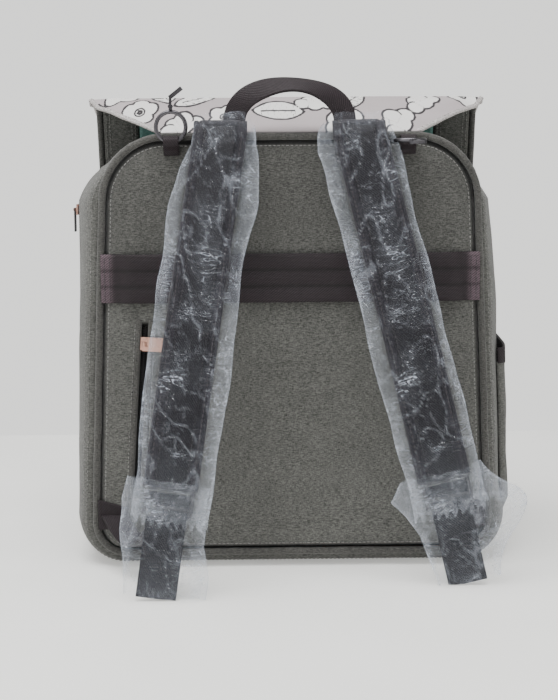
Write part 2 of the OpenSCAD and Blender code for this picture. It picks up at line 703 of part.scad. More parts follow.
// The webbing leaves the tab, dips towards the floor and rises to stop short of the lock
module lower_webbing(end, side) {
    a = [half_width(tab_z, 0) - panel_inset - tab_size / 2, back_y - 2 * webbing_t, tab_z];
    b = strap_at(end, lock_share) + [0, 8, -6];
    dip = 26;
    function at(v) = mix(a, b, v) - [0, 0, dip * sin(180 * v)];
    function grid(lift) = [for (i = [0 : 8])
        let (v = i / 8, d = at(v + 0.01) - at(v - 0.01), up = unit(cross([1, 0, 0], d)))
        [for (w = [-0.5, 0.5]) at(v) + [w * (tail_width - 8), 0, 0] + up * lift]];
    color(webbing_brown)
    if (side < 0) sheet_solid(flip_grid(grid(webbing_t)), flip_grid(grid(0)));
    else sheet_solid(grid(webbing_t), grid(0));
}
module lower_webbing_left() { lower_webbing(left_end, -1); }
module lower_webbing_right() { lower_webbing(right_end, 1); }

// ---- rings, their tabs and levers ----
ring_r = (ring_d - ring_wire) / 2;
// The loop clears the wire's rise over half the tab's width
loop_in = ring_wire / 2 + ring_r - sqrt(ring_r * ring_r - pow(ring_tab_width / 2, 2)) + 0.5;
loop_out = loop_in + 1.2;
ring_y = back_y - loop_out - 0.6;
ring_z = back_height - 4;
module ring_tab(side) {
    stem = 9;
    low = ring_z - stem;
    color(webbing_brown)
    translate([side * ring_x - ring_tab_width / 2, 0, 0]) rotate([90, 0, 90]) linear_extrude(ring_tab_width)
    difference() {
        union() {
            translate([ring_y, ring_z]) circle(r = loop_out, $fn = 48);
            polygon([[back_y - 2, low], [back_y, low], [back_y, ring_z - 6], [back_y - 0.6, ring_z - 5],
                [ring_y, ring_z - loop_out + 0.6], [back_y - 2, ring_z - 7]]);
        }
        translate([ring_y, ring_z]) circle(r = loop_in, $fn = 48);
    }
}
module ring_tab_left() { ring_tab(-1); }
module ring_tab_right() { ring_tab(1); }

// A ring stands up from its pivot at the origin; a lug on its top carries the lever's pin
lug_z = 2 * ring_r + ring_wire / 2 + 2.4;
module ring_shape() {
    translate([0, 0, ring_r]) rotate([90, 0, 0])
        rotate_extrude($fn = 64) translate([ring_r, 0]) circle(d = ring_wire, $fn = 24);
    translate([-1.4, -0.7, 2 * ring_r + 0.6]) cube([2.8, 1.4, lug_z - 2 * ring_r - 0.6]);
    translate([0, 0.7, lug_z]) rotate([90, 0, 0]) cylinder(r = 1.8, h = 1.4, $fn = 32);
    translate([0, 0.7, lug_z]) rotate([90, 0, 0]) cylinder(r = pin_r, h = 4, $fn = 24);
}
module lever_shape() {
    translate([0, -1.1, lug_z]) rotate([90, 0, 0])
    difference() {
        union() {
            cylinder(r = 1.9, h = 1.8, $fn = 32);
            translate([-1, 0, 0]) cube([2, 8, 1.8]);
            translate([0, 7, 0]) rotate([0, 0, 38]) translate([-0.8, -1.6, 0]) cube([lever_arm, 3.2, 1.8]);
        }
        translate([0, 0, -1]) cylinder(r = pin_r + 0.08, h = 4, $fn = 24);
    }
}
// The left ring stands, the right one lies out over the strap's shoulder
module ring_place(side) {
    translate([side * ring_x, ring_y, ring_z]) rotate([side > 0 ? 90 : 0, 0, 0]) children();
}
module ring_left() { color(gunmetal) ring_place(-1) ring_shape(); }
module ring_right() { color(gunmetal) ring_place(1) ring_shape(); }
module ring_lever_left() { color(gunmetal) ring_place(-1) lever_shape(); }
module ring_lever_right() { color(gunmetal) ring_place(1) lever_shape(); }

back_panel();
back_foam();
back_piping();
front_panel();
front_piping();
gusset_left();
gusset_right();
base_panel();
base_board();
facing_left();
facing_right();
lining_back();
lining_front();
lining_gusset();
slip_pocket();
luggage_band();
handle_root();
back_zip_tape();
back_zip_teeth();
side_zip_tape();
side_zip_teeth();
side_pocket();
side_pocket_hem();
front_pocket();
front_pocket_hem();
snap_socket();
ring_tab_left();
ring_tab_right();
corner_tab_left();
corner_tab_right();
lower_webbing_left();
lower_webbing_right();
flap_top_panel();
flap_top_lining();
flap_binding();
flap_front_panel();
flap_front_lining();
snap_stud();
grab_handle();
strap_pad_left();
strap_webbing_left();
strap_lock_left();
strap_tail_left();
strap_sleeve_left();
strap_pad_right();
strap_webbing_right();
strap_lock_right();
strap_tail_right();
strap_sleeve_right();
ring_left();
ring_lever_left();
ring_right();
ring_lever_right();
back_zip_slider();
back_zip_pull();
side_zip_slider();
side_zip_pull();
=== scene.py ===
import math

import bmesh
import bpy
import numpy as np
from mathutils import Matrix, Vector


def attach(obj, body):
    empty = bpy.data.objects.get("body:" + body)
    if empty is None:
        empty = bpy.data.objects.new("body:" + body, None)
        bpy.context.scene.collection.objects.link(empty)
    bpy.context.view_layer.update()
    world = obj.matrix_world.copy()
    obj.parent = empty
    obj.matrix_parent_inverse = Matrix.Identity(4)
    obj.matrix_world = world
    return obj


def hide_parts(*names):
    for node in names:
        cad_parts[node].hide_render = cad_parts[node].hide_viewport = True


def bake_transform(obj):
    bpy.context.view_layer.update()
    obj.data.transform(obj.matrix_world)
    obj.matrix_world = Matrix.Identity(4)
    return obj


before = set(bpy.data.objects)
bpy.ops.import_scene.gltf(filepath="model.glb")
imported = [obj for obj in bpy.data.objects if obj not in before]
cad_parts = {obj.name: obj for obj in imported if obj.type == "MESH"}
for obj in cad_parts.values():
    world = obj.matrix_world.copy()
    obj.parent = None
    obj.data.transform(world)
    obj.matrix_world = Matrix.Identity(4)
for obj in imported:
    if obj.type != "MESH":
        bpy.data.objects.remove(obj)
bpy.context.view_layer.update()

MM = 0.001
RNG = np.random.default_rng(11)

# ---- the bag's driving sizes, in millimetres ----
DEPTH, BASE_W, SHOULDER_W, FRONT_W = 166, 316, 292, 324
BACK_H, FRONT_H, RIM_H = 341, 372, 304
SHOULDER_R, BASE_R, LIFT, BULGE, FRONT_BULGE, LEAN = 50, 25, 12, 19, 5, 15
PANEL_T, GUSSET_T, LINING_T, PIPING_D, WEB_T, FOAM_T = 3, 2.5, 0.8, 5.6, 1.6, 6
BACK_Y, FRONT_Y = -DEPTH / 2, DEPTH / 2
GAP = 0.2
INSET = PIPING_D / 2 + GAP
G_BACK, G_FRONT = BACK_Y + PIPING_D + GAP, FRONT_Y - PIPING_D - GAP
LOW_Z, HIGH_Z = LIFT + BASE_R, BACK_H - SHOULDER_R
PIVOT_Z = BACK_H + 9


# ---------------------------------------------------------------- noise
_perm = RNG.permutation(256)
_perm = np.concatenate([_perm, _perm, _perm])
_grad = RNG.normal(size=(256, 3))
_grad /= np.linalg.norm(_grad, axis=1)[:, None]


def perlin(p):
    """Gradient noise at an array of points, about -1 to 1."""
    shape = p.shape[:-1]
    p = p.reshape(-1, 3)
    i = np.floor(p).astype(int)
    f = p - i
    u = f * f * f * (f * (f * 6 - 15) + 10)
    out = np.zeros(len(p))
    for dx in (0, 1):
        for dy in (0, 1):
            for dz in (0, 1):
                h = _perm[_perm[_perm[(i[:, 0] + dx) & 255] + ((i[:, 1] + dy) & 255)] + ((i[:, 2] + dz) & 255)]
                d = ((f - np.array([dx, dy, dz])) * _grad[h]).sum(1)
                w = ((u[:, 0] if dx else 1 - u[:, 0]) * (u[:, 1] if dy else 1 - u[:, 1])
                     * (u[:, 2] if dz else 1 - u[:, 2]))
                out += w * d
    return (out * 1.7).reshape(shape)


def noise_at(p, size, seed=0.0):
    """Noise whose features are about size millimetres; size may be one number or three."""
    return perlin(p / np.array(size) + seed * 7.31 + 0.37)


def smooth(x, a, b):
    t = np.clip((x - a) / (b - a), 0, 1)
    return t * t * (3 - 2 * t)


def joined(*runs):
    """Evenly spaced values over runs of (start, end, count), with each shared end given once."""
    parts = [np.linspace(*run) for run in runs]
    return np.concatenate([p[:-1] for p in parts[:-1]] + parts[-1:])


# ---------------------------------------------------------------- meshes
def normals_of(p, ref=None):
    """Unit normals of a grid of points; ref (a vector, or a grid of them) picks the side."""
    du, dv = np.gradient(p, axis=1), np.gradient(p, axis=0)
    n = np.cross(du, dv)
    n /= np.maximum(np.linalg.norm(n, axis=2), 1e-9)[:, :, None]
    if ref is not None:
        side = np.sign((n * ref).sum(2))
        n = n * (1 if np.median(side) >= 0 else -1)
    return n


def arc_uv(p):
    """Texture coordinates of a grid, in metres along its middle row and column."""
    mid_r, mid_c = p[p.shape[0] // 2], p[:, p.shape[1] // 2]
    u = np.concatenate([[0], np.cumsum(np.linalg.norm(np.diff(mid_r, axis=0), axis=1))])
    v = np.concatenate([[0], np.cumsum(np.linalg.norm(np.diff(mid_c, axis=0), axis=1))])
    return np.stack(np.meshgrid(u, v), 2) * MM


def quads(rows, cols, base=0, wrap_r=False, wrap_c=False, flip=False):
    r = np.arange(rows if wrap_r else rows - 1)
    c = np.arange(cols if wrap_c else cols - 1)
    rr, cc = np.meshgrid(r, c, indexing="ij")
    r2, c2 = (rr + 1) % rows, (cc + 1) % cols
    q = np.stack([rr * cols + cc, rr * cols + c2, r2 * cols + c2, r2 * cols + cc], 2).reshape(-1, 4) + base
    return q[:, ::-1] if flip else q


def make(name, verts, faces, mat, uv=None, attrs=None):
    """A piece from points in millimetres, smooth shaded, with its normals turned outward."""
    me = bpy.data.meshes.new(name)
    me.from_pydata((np.asarray(verts, float) * MM).tolist(), [], [list(map(int, f)) for f in faces])
    if uv is not None:
        layer = me.uv_layers.new(name="UVMap")
        idx = np.zeros(len(me.loops), np.int32)
        me.loops.foreach_get("vertex_index", idx)
        layer.data.foreach_set("uv", np.asarray(uv, np.float32)[idx].ravel())
    for key, values in (attrs or {}).items():
        a = me.attributes.new(key, "FLOAT", "POINT")
        a.data.foreach_set("value", np.asarray(values, np.float32))
    bm = bmesh.new()
    bm.from_mesh(me)
    bmesh.ops.recalc_face_normals(bm, faces=bm.faces)
    bm.to_mesh(me)
    bm.free()
    me.shade_smooth()
    me.materials.append(mat)
    ob = bpy.data.objects.new(name, me)
    bpy.context.scene.collection.objects.link(ob)
    return ob


def shell(name, outer, inner, mat, attrs=None):
    """A closed sheet between an outer and an inner grid of points."""
    rows, cols = outer.shape[:2]
    n = rows * cols
    faces = [quads(rows, cols), quads(rows, cols, n, flip=True)]
    r, c = np.arange(rows - 1), np.arange(cols - 1)
    last = (rows - 1) * cols
    faces.append(np.stack([c + 1, c, c + n, c + 1 + n], 1))
    faces.append(np.stack([last + c, last + c + 1, last + c + 1 + n, last + c + n], 1))
    faces.append(np.stack([r * cols, (r + 1) * cols, (r + 1) * cols + n, r * cols + n], 1))
    right = (r + 1) * cols - 1
    faces.append(np.stack([right + cols, right, right + n, right + cols + n], 1))
    uv = arc_uv(outer).reshape(-1, 2)
    return make(name, np.concatenate([outer.reshape(-1, 3), inner.reshape(-1, 3)]), np.concatenate(faces), mat,
                np.concatenate([uv, uv]), {k: np.tile(np.ravel(v), 2) for k, v in (attrs or {}).items()})


def cloth(name, outer, t, mat, ref, attrs=None):
    return shell(name, outer, outer - normals_of(outer, ref) * t, mat, attrs)


def tube_parts(path, r, closed=False, sides=12, ref=(0, 1, 0)):
    """Rings of points along a path, for a round rod."""
    path = np.asarray(path, float)
    t = (np.roll(path, -1, 0) - np.roll(path, 1, 0)) if closed else np.gradient(path, axis=0)
    t /= np.linalg.norm(t, axis=1)[:, None]
    a = np.cross(t, np.array(ref, float))
    a /= np.linalg.norm(a, axis=1)[:, None]
    b = np.cross(t, a)
    k = np.linspace(0, 2 * np.pi, sides, endpoint=False)
    r = np.broadcast_to(r, len(path))[:, None, None]
    return path[:, None] + (a[:, None] * np.cos(k)[None, :, None] + b[:, None] * np.sin(k)[None, :, None]) * r


def tube(name, path, r, mat, closed=False, sides=12):
    rings = tube_parts(path, r, closed, sides)
    rows = len(rings)
    faces = [list(f) for f in quads(rows, sides, wrap_r=closed, wrap_c=True)]
    if not closed:
        faces += [list(range(sides))[::-1], [(rows - 1) * sides + k for k in range(sides)]]
    s = np.concatenate([[0], np.cumsum(np.linalg.norm(np.diff(np.asarray(path, float), axis=0), axis=1))]) * MM
    w = np.abs(np.linspace(-1, 1, sides, endpoint=False)) * float(np.mean(r)) * math.pi * MM
    uv = np.stack(np.meshgrid(w, s), 2).reshape(-1, 2)
    return make(name, rings.reshape(-1, 3), faces, mat, uv)


def stitches(name, runs, mat, pitch=3.4, length=2.4, r=0.36):
    """Rows of thread: each run is (points, lift direction). One small rounded rod a stitch."""
    verts, faces, sides = [], [], 6
    profile = [(-0.5, 0.15, -0.28), (-0.36, 0.85, 0.02), (0, 1.0, 0.12), (0.36, 0.85, 0.02), (0.5, 0.15, -0.28)]
    for points, lift in runs:
        points = np.asarray(points, float)
        lift = np.broadcast_to(np.asarray(lift, float), points.shape)
        s = np.concatenate([[0], np.cumsum(np.linalg.norm(np.diff(points, axis=0), axis=1))])
        for at in np.arange(pitch / 2, s[-1] - pitch / 3, pitch):
            p = np.array([np.interp(at, s, points[:, i]) for i in range(3)])
            q = np.array([np.interp(at + 0.5, s, points[:, i]) for i in range(3)])
            n = np.array([np.interp(at, s, lift[:, i]) for i in range(3)])
            d = q - p
            if np.linalg.norm(d) < 1e-6:
                continue
            d /= np.linalg.norm(d)
            n = n - d * (n @ d)
            n /= max(np.linalg.norm(n), 1e-9)
            w = np.cross(d, n)
            base = len(verts)
            for along, share, up in profile:
                for k in range(sides):
                    a = 2 * math.pi * k / sides
                    round_it = (w * math.cos(a) + n * math.sin(a)) * r * share
                    verts.append(p + d * along * length + round_it + n * (up * r * 2))
            faces += [[base + x for x in f] for f in quads(len(profile), sides, wrap_c=True).tolist()]
            end = base + (len(profile) - 1) * sides
            faces += [[base + k for k in range(sides)][::-1], [end + k for k in range(sides)]]
    return make(name, verts, faces, mat)


# ---------------------------------------------------------------- materials
def material(name, **values):
    m = bpy.data.materials.new(name)
    m.use_nodes = True
    bsdf = m.node_tree.nodes["Principled BSDF"]
    for key, v in values.items():
        bsdf.inputs[key.replace("_", " ")].default_value = v
    return m, m.node_tree, bsdf


def node(nt, kind, **values):
    n = nt.nodes.new(kind)
    for key, v in values.items():
        if hasattr(n, key):
            setattr(n, key, v)
        else:
            n.inputs[key.replace("_", " ")].default_value = v
    return n


def coords(nt, kind, scale=(1, 1, 1), rotate=(0, 0, 0)):
    tc = node(nt, "ShaderNodeTexCoord")
    mp = node(nt, "ShaderNodeMapping")
    mp.inputs["Scale"].default_value = scale
    mp.inputs["Rotation"].default_value = rotate
    nt.links.new(tc.outputs[kind], mp.inputs["Vector"])
    return mp.outputs["Vector"]


def noise_tex(nt, vector, scale, detail=2.0, rough=0.5, distortion=0.0):
    n = node(nt, "ShaderNodeTexNoise", Scale=scale, Detail=detail, Roughness=rough, Distortion=distortion)
    nt.links.new(vector, n.inputs["Vector"])
    return n.outputs["Fac"]


def math_node(nt, op, a, b=None):
    n = node(nt, "ShaderNodeMath", operation=op)
    for i, x in enumerate([a] if b is None else [a, b]):
        if isinstance(x, (int, float)):
            n.inputs[i].default_value = x
        else:
            nt.links.new(x, n.inputs[i])
    return n.outputs[0]


def add(nt, a, b):
    return math_node(nt, "ADD", a, b)


def mul(nt, a, b):
    return math_node(nt, "MULTIPLY", a, b)


def attribute(nt, name):
    return node(nt, "ShaderNodeAttribute", attribute_name=name).outputs["Fac"]


def ramp(nt, fac, stops):
    n = node(nt, "ShaderNodeValToRGB")
    while len(n.color_ramp.elements) < len(stops):
        n.color_ramp.elements.new(0.5)
    for e, (at, colour) in zip(n.color_ramp.elements, stops):
        e.position = at
        e.color = (*colour, 1)
    nt.links.new(fac, n.inputs["Fac"])
    return n.outputs["Color"]


def map_range(nt, x, a, b, c=0.0, d=1.0):
    n = node(nt, "ShaderNodeMapRange")
    nt.links.new(x, n.inputs["Value"])
    for key, v in (("From Min", a), ("From Max", b), ("To Min", c), ("To Max", d)):
        n.inputs[key].default_value = v
    return n.outputs["Result"]


def mix_colour(nt, fac, a, b):
    n = node(nt, "ShaderNodeMix", data_type="RGBA")
    for i, x in ((0, fac), (6, a), (7, b)):
        if isinstance(x, (int, float)):
            n.inputs[i].default_value = x
        elif isinstance(x, tuple):
            n.inputs[i].default_value = (*x, 1)
        else:
            nt.links.new(x, n.inputs[i])
    return n.outputs[2]


def bump(nt, bsdf, height, distance, strength=1.0, before=None):
    n = node(nt, "ShaderNodeBump", Strength=strength, Distance=distance)
    nt.links.new(height, n.inputs["Height"])
    if before is not None:
        nt.links.new(before, n.inputs["Normal"])
    nt.links.new(n.outputs["Normal"], bsdf.inputs["Normal"])
    return n.outputs["Normal"]


def lin(r, g, b):
    """A linear colour from ordinary 0-255 values."""
    shares = (c / 255 for c in (r, g, b))
    return tuple(s / 12.92 if s <= 0.04045 else ((s + 0.055) / 1.055) ** 2.4 for s in shares)


WAVE = 0.314159  # a wave texture of scale WAVE / p repeats every p metres
THREAD = 0.001  # the canvas has a thread every millimetre


def canvas(name, dark, light):
    """Heathered plain weave: light and dark yarns as short dashes both ways, with a raised weave, darkened where a
    mesh attribute paints in shade.
    """
    m, nt, bsdf = material(name, Roughness=0.9)
    bsdf.inputs["Sheen Weight"].default_value = 0.18
    bsdf.inputs["Sheen Roughness"].default_value = 0.5
    bsdf.inputs["Specular IOR Level"].default_value = 0.25
    dash_w = noise_tex(nt, coords(nt, "Object", (360, 360, 2100)), 1.0, 1.0, 0.6)
    dash_v = noise_tex(nt, coords(nt, "Object", (2100, 2100, 560)), 1.0, 1.0, 0.6)
    speck = noise_tex(nt, coords(nt, "Object"), 2200.0, 1.0)
    cloud = noise_tex(nt, coords(nt, "Object"), 9.0, 3.0)
    worn = noise_tex(nt, coords(nt, "Object"), 45.0, 4.0, 0.6)
    mixed = add(nt, mul(nt, dash_w, 0.5), mul(nt, dash_v, 0.3))
    mixed = add(nt, mixed, mul(nt, speck, 0.2))
    between = tuple(d * 0.6 + l * 0.4 for d, l in zip(dark, light))
    yarn = ramp(nt, mixed, [(0.34, dark), (0.47, between), (0.6, light)])
    tone = map_range(nt, cloud, 0.3, 0.7, 0.88, 1.1)
    tone = mul(nt, tone, map_range(nt, worn, 0.35, 0.7, 0.93, 1.06))
    # painted shade: a mesh attribute darkens the cloth down to 6 per cent in seam grooves, the zip slot and over
    # the top of the back panel
    painted_shade = attribute(nt, "painted_shade")
    tone = mul(nt, tone, map_range(nt, painted_shade, 0.0, 1.0, 1.0, 0.06))
    hsv = node(nt, "ShaderNodeHueSaturation")
    nt.links.new(yarn, hsv.inputs["Color"])
    nt.links.new(tone, hsv.inputs["Value"])
    nt.links.new(hsv.outputs["Color"], bsdf.inputs["Base Color"])
    scale = WAVE / THREAD
    across = node(nt, "ShaderNodeTexWave", Scale=scale, Distortion=0.6, Detail=1.0)
    across.bands_direction = "Z"
    nt.links.new(coords(nt, "Object"), across.inputs["Vector"])
    along = node(nt, "ShaderNodeTexWave", Scale=scale, Distortion=0.6, Detail=1.0)
    along.bands_direction = "X"
    diagonal = coords(nt, "Object", rotate=(0, 0, math.radians(45)), scale=(1.4142, 1.4142, 1))
    nt.links.new(diagonal, along.inputs["Vector"])
    weave = add(nt, mul(nt, across.outputs["Fac"], along.outputs["Fac"]), mixed)
    first = bump(nt, bsdf, weave, 0.0004, 0.55)
    bump(nt, bsdf, worn, 0.0012, 0.35, first)
    nt.links.new(map_range(nt, mixed, 0.3, 0.7, 0.8, 0.97), bsdf.inputs["Roughness"])
    return m


def webbing(name, dark, light, sheen=0.5):
    """Seat-belt webbing: fine lengthwise cords crossed by a twill, silky along its length; U runs across."""
    m, nt, bsdf = material(name, Roughness=0.5)
    bsdf.inputs["Sheen Weight"].default_value = sheen
    bsdf.inputs["Sheen Roughness"].default_value = 0.35
    bsdf.inputs["Specular IOR Level"].default_value = 0.22
    uv = coords(nt, "UV")
    twill = node(nt, "ShaderNodeTexWave", Scale=WAVE / 0.0015, Distortion=0.4, Detail=1.0)
    nt.links.new(coords(nt, "UV", rotate=(0, 0, math.radians(38))), twill.inputs["Vector"])
    cords = node(nt, "ShaderNodeTexWave", Scale=WAVE / 0.001, Distortion=0.3, Detail=1.0)
    nt.links.new(uv, cords.inputs["Vector"])
    fine = noise_tex(nt, coords(nt, "UV", (900, 240, 1)), 1.0, 2.0)
    cloud = noise_tex(nt, coords(nt, "UV", (30, 12, 1)), 1.0, 3.0)
    h = add(nt, mul(nt, twill.outputs["Fac"], 0.6), mul(nt, cords.outputs["Fac"], 0.5))
    h = add(nt, h, mul(nt, fine, 0.5))
    colour = ramp(nt, h, [(0.35, dark), (0.75, tuple((a + b) / 2 for a, b in zip(dark, light))), (1.0, light)])
    hsv = node(nt, "ShaderNodeHueSaturation")
    nt.links.new(colour, hsv.inputs["Color"])
    # painted shade and painted sheen: one mesh attribute darkens the grooves between ribs to 45 per cent, the
    # turned attribute lightens the ends up to five times
    painted_shade = attribute(nt, "painted_shade")
    turned = attribute(nt, "turned")
    value = mul(nt, map_range(nt, cloud, 0.3, 0.7, 0.85, 1.15), map_range(nt, painted_shade, 0.0, 1.0, 1.0, 0.45))
    value = mul(nt, value, map_range(nt, turned, 0.0, 1.0, 1.0, 5.0))
    nt.links.new(value, hsv.inputs["Value"])
    nt.links.new(hsv.outputs["Color"], bsdf.inputs["Base Color"])
    bump(nt, bsdf, h, 0.0005, 0.6)
    nt.links.new(map_range(nt, h, 0.3, 1.2, 0.62, 0.36), bsdf.inputs["Roughness"])
    return m


def satin(name, dark, light):
    """A smooth coated lining cloth with a fine grid weave and soft mottling."""
    m, nt, bsdf = material(name, Roughness=0.6)
    bsdf.inputs["Sheen Weight"].default_value = 0.3
    bsdf.inputs["Specular IOR Level"].default_value = 0.4
    cloud = noise_tex(nt, coords(nt, "Object"), 22.0, 4.0, 0.6)
    fine = noise_tex(nt, coords(nt, "Object", (700, 700, 1400)), 1.0, 1.0)
    both = add(nt, mul(nt, cloud, 0.7), mul(nt, fine, 0.3))
    nt.links.new(ramp(nt, both, [(0.35, dark), (0.65, light)]), bsdf.inputs["Base Color"])
    first = bump(nt, bsdf, fine, 0.0003, 0.5)
    bump(nt, bsdf, cloud, 0.002, 0.3, first)
    nt.links.new(map_range(nt, both, 0.3, 0.7, 0.5, 0.72), bsdf.inputs["Roughness"])
    return m


def metal(name, colour, rough):
    """Plated metal with fine brushing and a few duller patches."""
    m, nt, bsdf = material(name, Metallic=1.0)
    fine = noise_tex(nt, coords(nt, "Object", (1, 1, 6)), 900.0, 3.0)
    patch = noise_tex(nt, coords(nt, "Object"), 140.0, 4.0, 0.6)
    plated = ramp(nt, patch, [(0.3, tuple(c * 0.75 for c in colour)), (0.65, colour)])
    nt.links.new(plated, bsdf.inputs["Base Color"])
    nt.links.new(map_range(nt, patch, 0.3, 0.7, rough, rough + 0.18), bsdf.inputs["Roughness"])
    bump(nt, bsdf, fine, 0.00012, 0.3)
    return m


def plastic(name, colour, rough=0.42):
    """Moulded plastic with a fine spark-eroded grain."""
    m, nt, bsdf = material(name, Roughness=rough)
    fine = noise_tex(nt, coords(nt, "Object"), 1800.0, 2.0)
    patch = noise_tex(nt, coords(nt, "Object"), 60.0, 3.0)
    moulded = ramp(nt, patch, [(0.3, tuple(c * 0.8 for c in colour)), (0.7, colour)])
    nt.links.new(moulded, bsdf.inputs["Base Color"])
    nt.links.new(map_range(nt, patch, 0.3, 0.7, rough - 0.06, rough + 0.1), bsdf.inputs["Roughness"])
    bump(nt, bsdf, fine, 0.0002, 0.4)
    return m


def printed(name):
    """Coated print: pinkish-grey ground, off-white motifs in a thin dark line, read from the mesh's distances."""
    m, nt, bsdf = material(name, Roughness=0.55)
    bsdf.inputs["Specular IOR Level"].default_value = 0.4
    motif = attribute(nt, "motif")
    vein = attribute(nt, "vein")
    wobble = noise_tex(nt, coords(nt, "UV"), 160.0, 2.0)
    cloud = noise_tex(nt, coords(nt, "UV"), 14.0, 3.0)
    grain = noise_tex(nt, coords(nt, "UV"), 1400.0, 2.0)
    half = map_range(nt, wobble, 0.35, 0.65, 0.7, 1.15)
    edge = math_node(nt, "SUBTRACT", half, math_node(nt, "ABSOLUTE", motif))
    line = map_range(nt, edge, -0.15, 0.15)
    inner = math_node(nt, "SUBTRACT", mul(nt, half, 0.75), math_node(nt, "ABSOLUTE", vein))
    inner = mul(nt, map_range(nt, inner, -0.15, 0.15), map_range(nt, motif, -0.6, -1.2))
    ink = math_node(nt, "MAXIMUM", line, inner)
    inside = map_range(nt, motif, 0.1, -0.1)
    ground = mix_colour(nt, cloud, lin(160, 151, 153), lin(180, 171, 172))
    fill = mix_colour(nt, inside, ground, lin(222, 220, 218))
    full = mix_colour(nt, ink, fill, lin(38, 34, 38))
    nt.links.new(full, bsdf.inputs["Base Color"])
    first = bump(nt, bsdf, grain, 0.0002, 0.35)
    bump(nt, bsdf, cloud, 0.003, 0.25, first)
    nt.links.new(map_range(nt, grain, 0.3, 0.7, 0.46, 0.62), bsdf.inputs["Roughness"])
    return m


def clear_film(name, haze=0.012):
    """Thin crinkled plastic film: nearly clear over the strap; whiter at its loose sides and along its creases,
    partly whitening of the creased film and partly painted highlight.
    """
    m, nt, bsdf = material(name, Roughness=0.14)
    bsdf.inputs["Base Color"].default_value = (*lin(206, 214, 228), 1)
    bsdf.inputs["Specular IOR Level"].default_value = 1.0
    flank = attribute(nt, "flank")
    fold_glint = attribute(nt, "crease_glint")
    veil = attribute(nt, "veil")

    # painted highlight, partly whitening of the creased film: thin noise lines raise the alpha of the whitish film
    # so they show as bright lines
    def glint_streaks(scale, turn, width, detail=2.0):
        n = noise_tex(nt, coords(nt, "UV", scale, (0, 0, turn)), 1.0, detail, 0.55, 0.5)
        off = math_node(nt, "ABSOLUTE", math_node(nt, "SUBTRACT", n, 0.5))
        return map_range(nt, off, 0.0, width, 1.0, 0.0), off

    wide, wide_off = glint_streaks((55, 210, 1), 0.25, 0.016)
    fine, fine_off = glint_streaks((110, 420, 1), -0.3, 0.02)
    steep, steep_off = glint_streaks((150, 90, 1), 0.7, 0.014, 2.0)
    gate = noise_tex(nt, coords(nt, "UV", (38, 26, 1)), 1.0, 2.0)
    gate_b = noise_tex(nt, coords(nt, "UV", (30, 60, 1), (0, 0, 0.4)), 1.0, 2.0)
    centre = add(nt, mul(nt, wide, map_range(nt, gate, 0.5, 0.66, 0.0, 0.6)),
                       mul(nt, fine, map_range(nt, gate_b, 0.54, 0.68, 0.0, 0.45)))
    # painted highlight on the loose sides: steeper lines where the film reaches past the pad
    sides = mul(nt, steep, map_range(nt, gate_b, 0.44, 0.66, 0.0, 0.5))
    sides = mul(nt, sides, flank)
    cloudy = map_range(nt, gate, 0.45, 0.75, 0.0, 0.1)
    alpha = add(nt, centre, sides)
    # creases and folded rims add painted highlight, partly whitening of the creased film
    for extra, share in ((fold_glint, 0.3), (flank, 0.05), (veil, 0.35), (cloudy, 0.5)):
        alpha = add(nt, alpha, mul(nt, extra, share))
    alpha = add(nt, alpha, haze)
    nt.links.new(math_node(nt, "MINIMUM", alpha, 0.9), bsdf.inputs["Alpha"])
    h = add(nt, add(nt, wide_off, fine_off), steep_off)
    bump(nt, bsdf, h, 0.004, 0.7)
    return m


CANVAS = canvas("canvas_grey", lin(42, 42, 41), lin(108, 108, 104))
CANVAS_DARK = canvas("canvas_piping", lin(34, 34, 33), lin(92, 91, 88))
BROWN = webbing("webbing_brown", lin(13, 9, 11), lin(46, 38, 42), sheen=0.04)
STRAP = canvas("strap_cloth", lin(16, 14, 18), lin(40, 37, 44))
STRAP_WEB = webbing("strap_webbing", lin(10, 9, 12), lin(28, 26, 32), sheen=0.02)
TEAL = satin("lining_teal", lin(46, 84, 80), lin(98, 142, 134))
PRINT = printed("printed_cloth")
BINDING = canvas("binding_cloth", lin(120, 114, 112), lin(205, 200, 198))
THREAD_GREY = canvas("thread_grey", lin(84, 84, 82), lin(150, 149, 146))
THREAD_DARK = canvas("thread_dark", lin(30, 27, 29), lin(66, 60, 64))
GUNMETAL = metal("gunmetal_plate", lin(96, 94, 98), 0.2)
ROSE = metal("rose_gold_plate", lin(222, 176, 158), 0.24)
TAPE = webbing("zip_tape", lin(24, 22, 24), lin(58, 54, 58), sheen=0.1)
BUCKLE = plastic("buckle_plastic", lin(38, 36, 39))
BOARD = plastic("base_board", lin(150, 116, 84), 0.8)
FILM = clear_film("packing_film")


# ---------------------------------------------------------------- the bag's outline
def mix(a, b, t):
    return a + (b - a) * t


def half_width(z, t):
    return mix(BASE_W, mix(SHOULDER_W, FRONT_W, t), min(1, z / HIGH_Z)) / 2


def seam_point(s, t):
    if s <= 1:
        a = math.radians(mix(-90, 0, s))
        return half_width(LOW_Z, t) - BASE_R + BASE_R * math.cos(a), LOW_Z + BASE_R * math.sin(a)
    if s <= 2:
        z = mix(LOW_Z, HIGH_Z, s - 1)
        return half_width(z, t), z
    a = math.radians(mix(0, 90, s - 2))
    return half_width(HIGH_Z, t) - SHOULDER_R + SHOULDER_R * math.cos(a), HIGH_Z + SHOULDER_R * math.sin(a)


def seam_normal(s):
    a = math.radians(mix(-90, 0, s) if s <= 1 else 0 if s <= 2 else mix(0, 90, s - 2))
    return math.cos(a), math.sin(a)


def fullness(s, t):
    p = mix(5, 3, s) if s <= 1 else 3
    return min(1, 1.01 * max(0, 1 - abs(2 * t - 1) ** p) ** (1 / p))


def swell(s):
    return mix(LIFT, BULGE, s) if s <= 1 else BULGE if s <= 2 else mix(BULGE, PANEL_T, min(1, (s - 2) / 0.4))


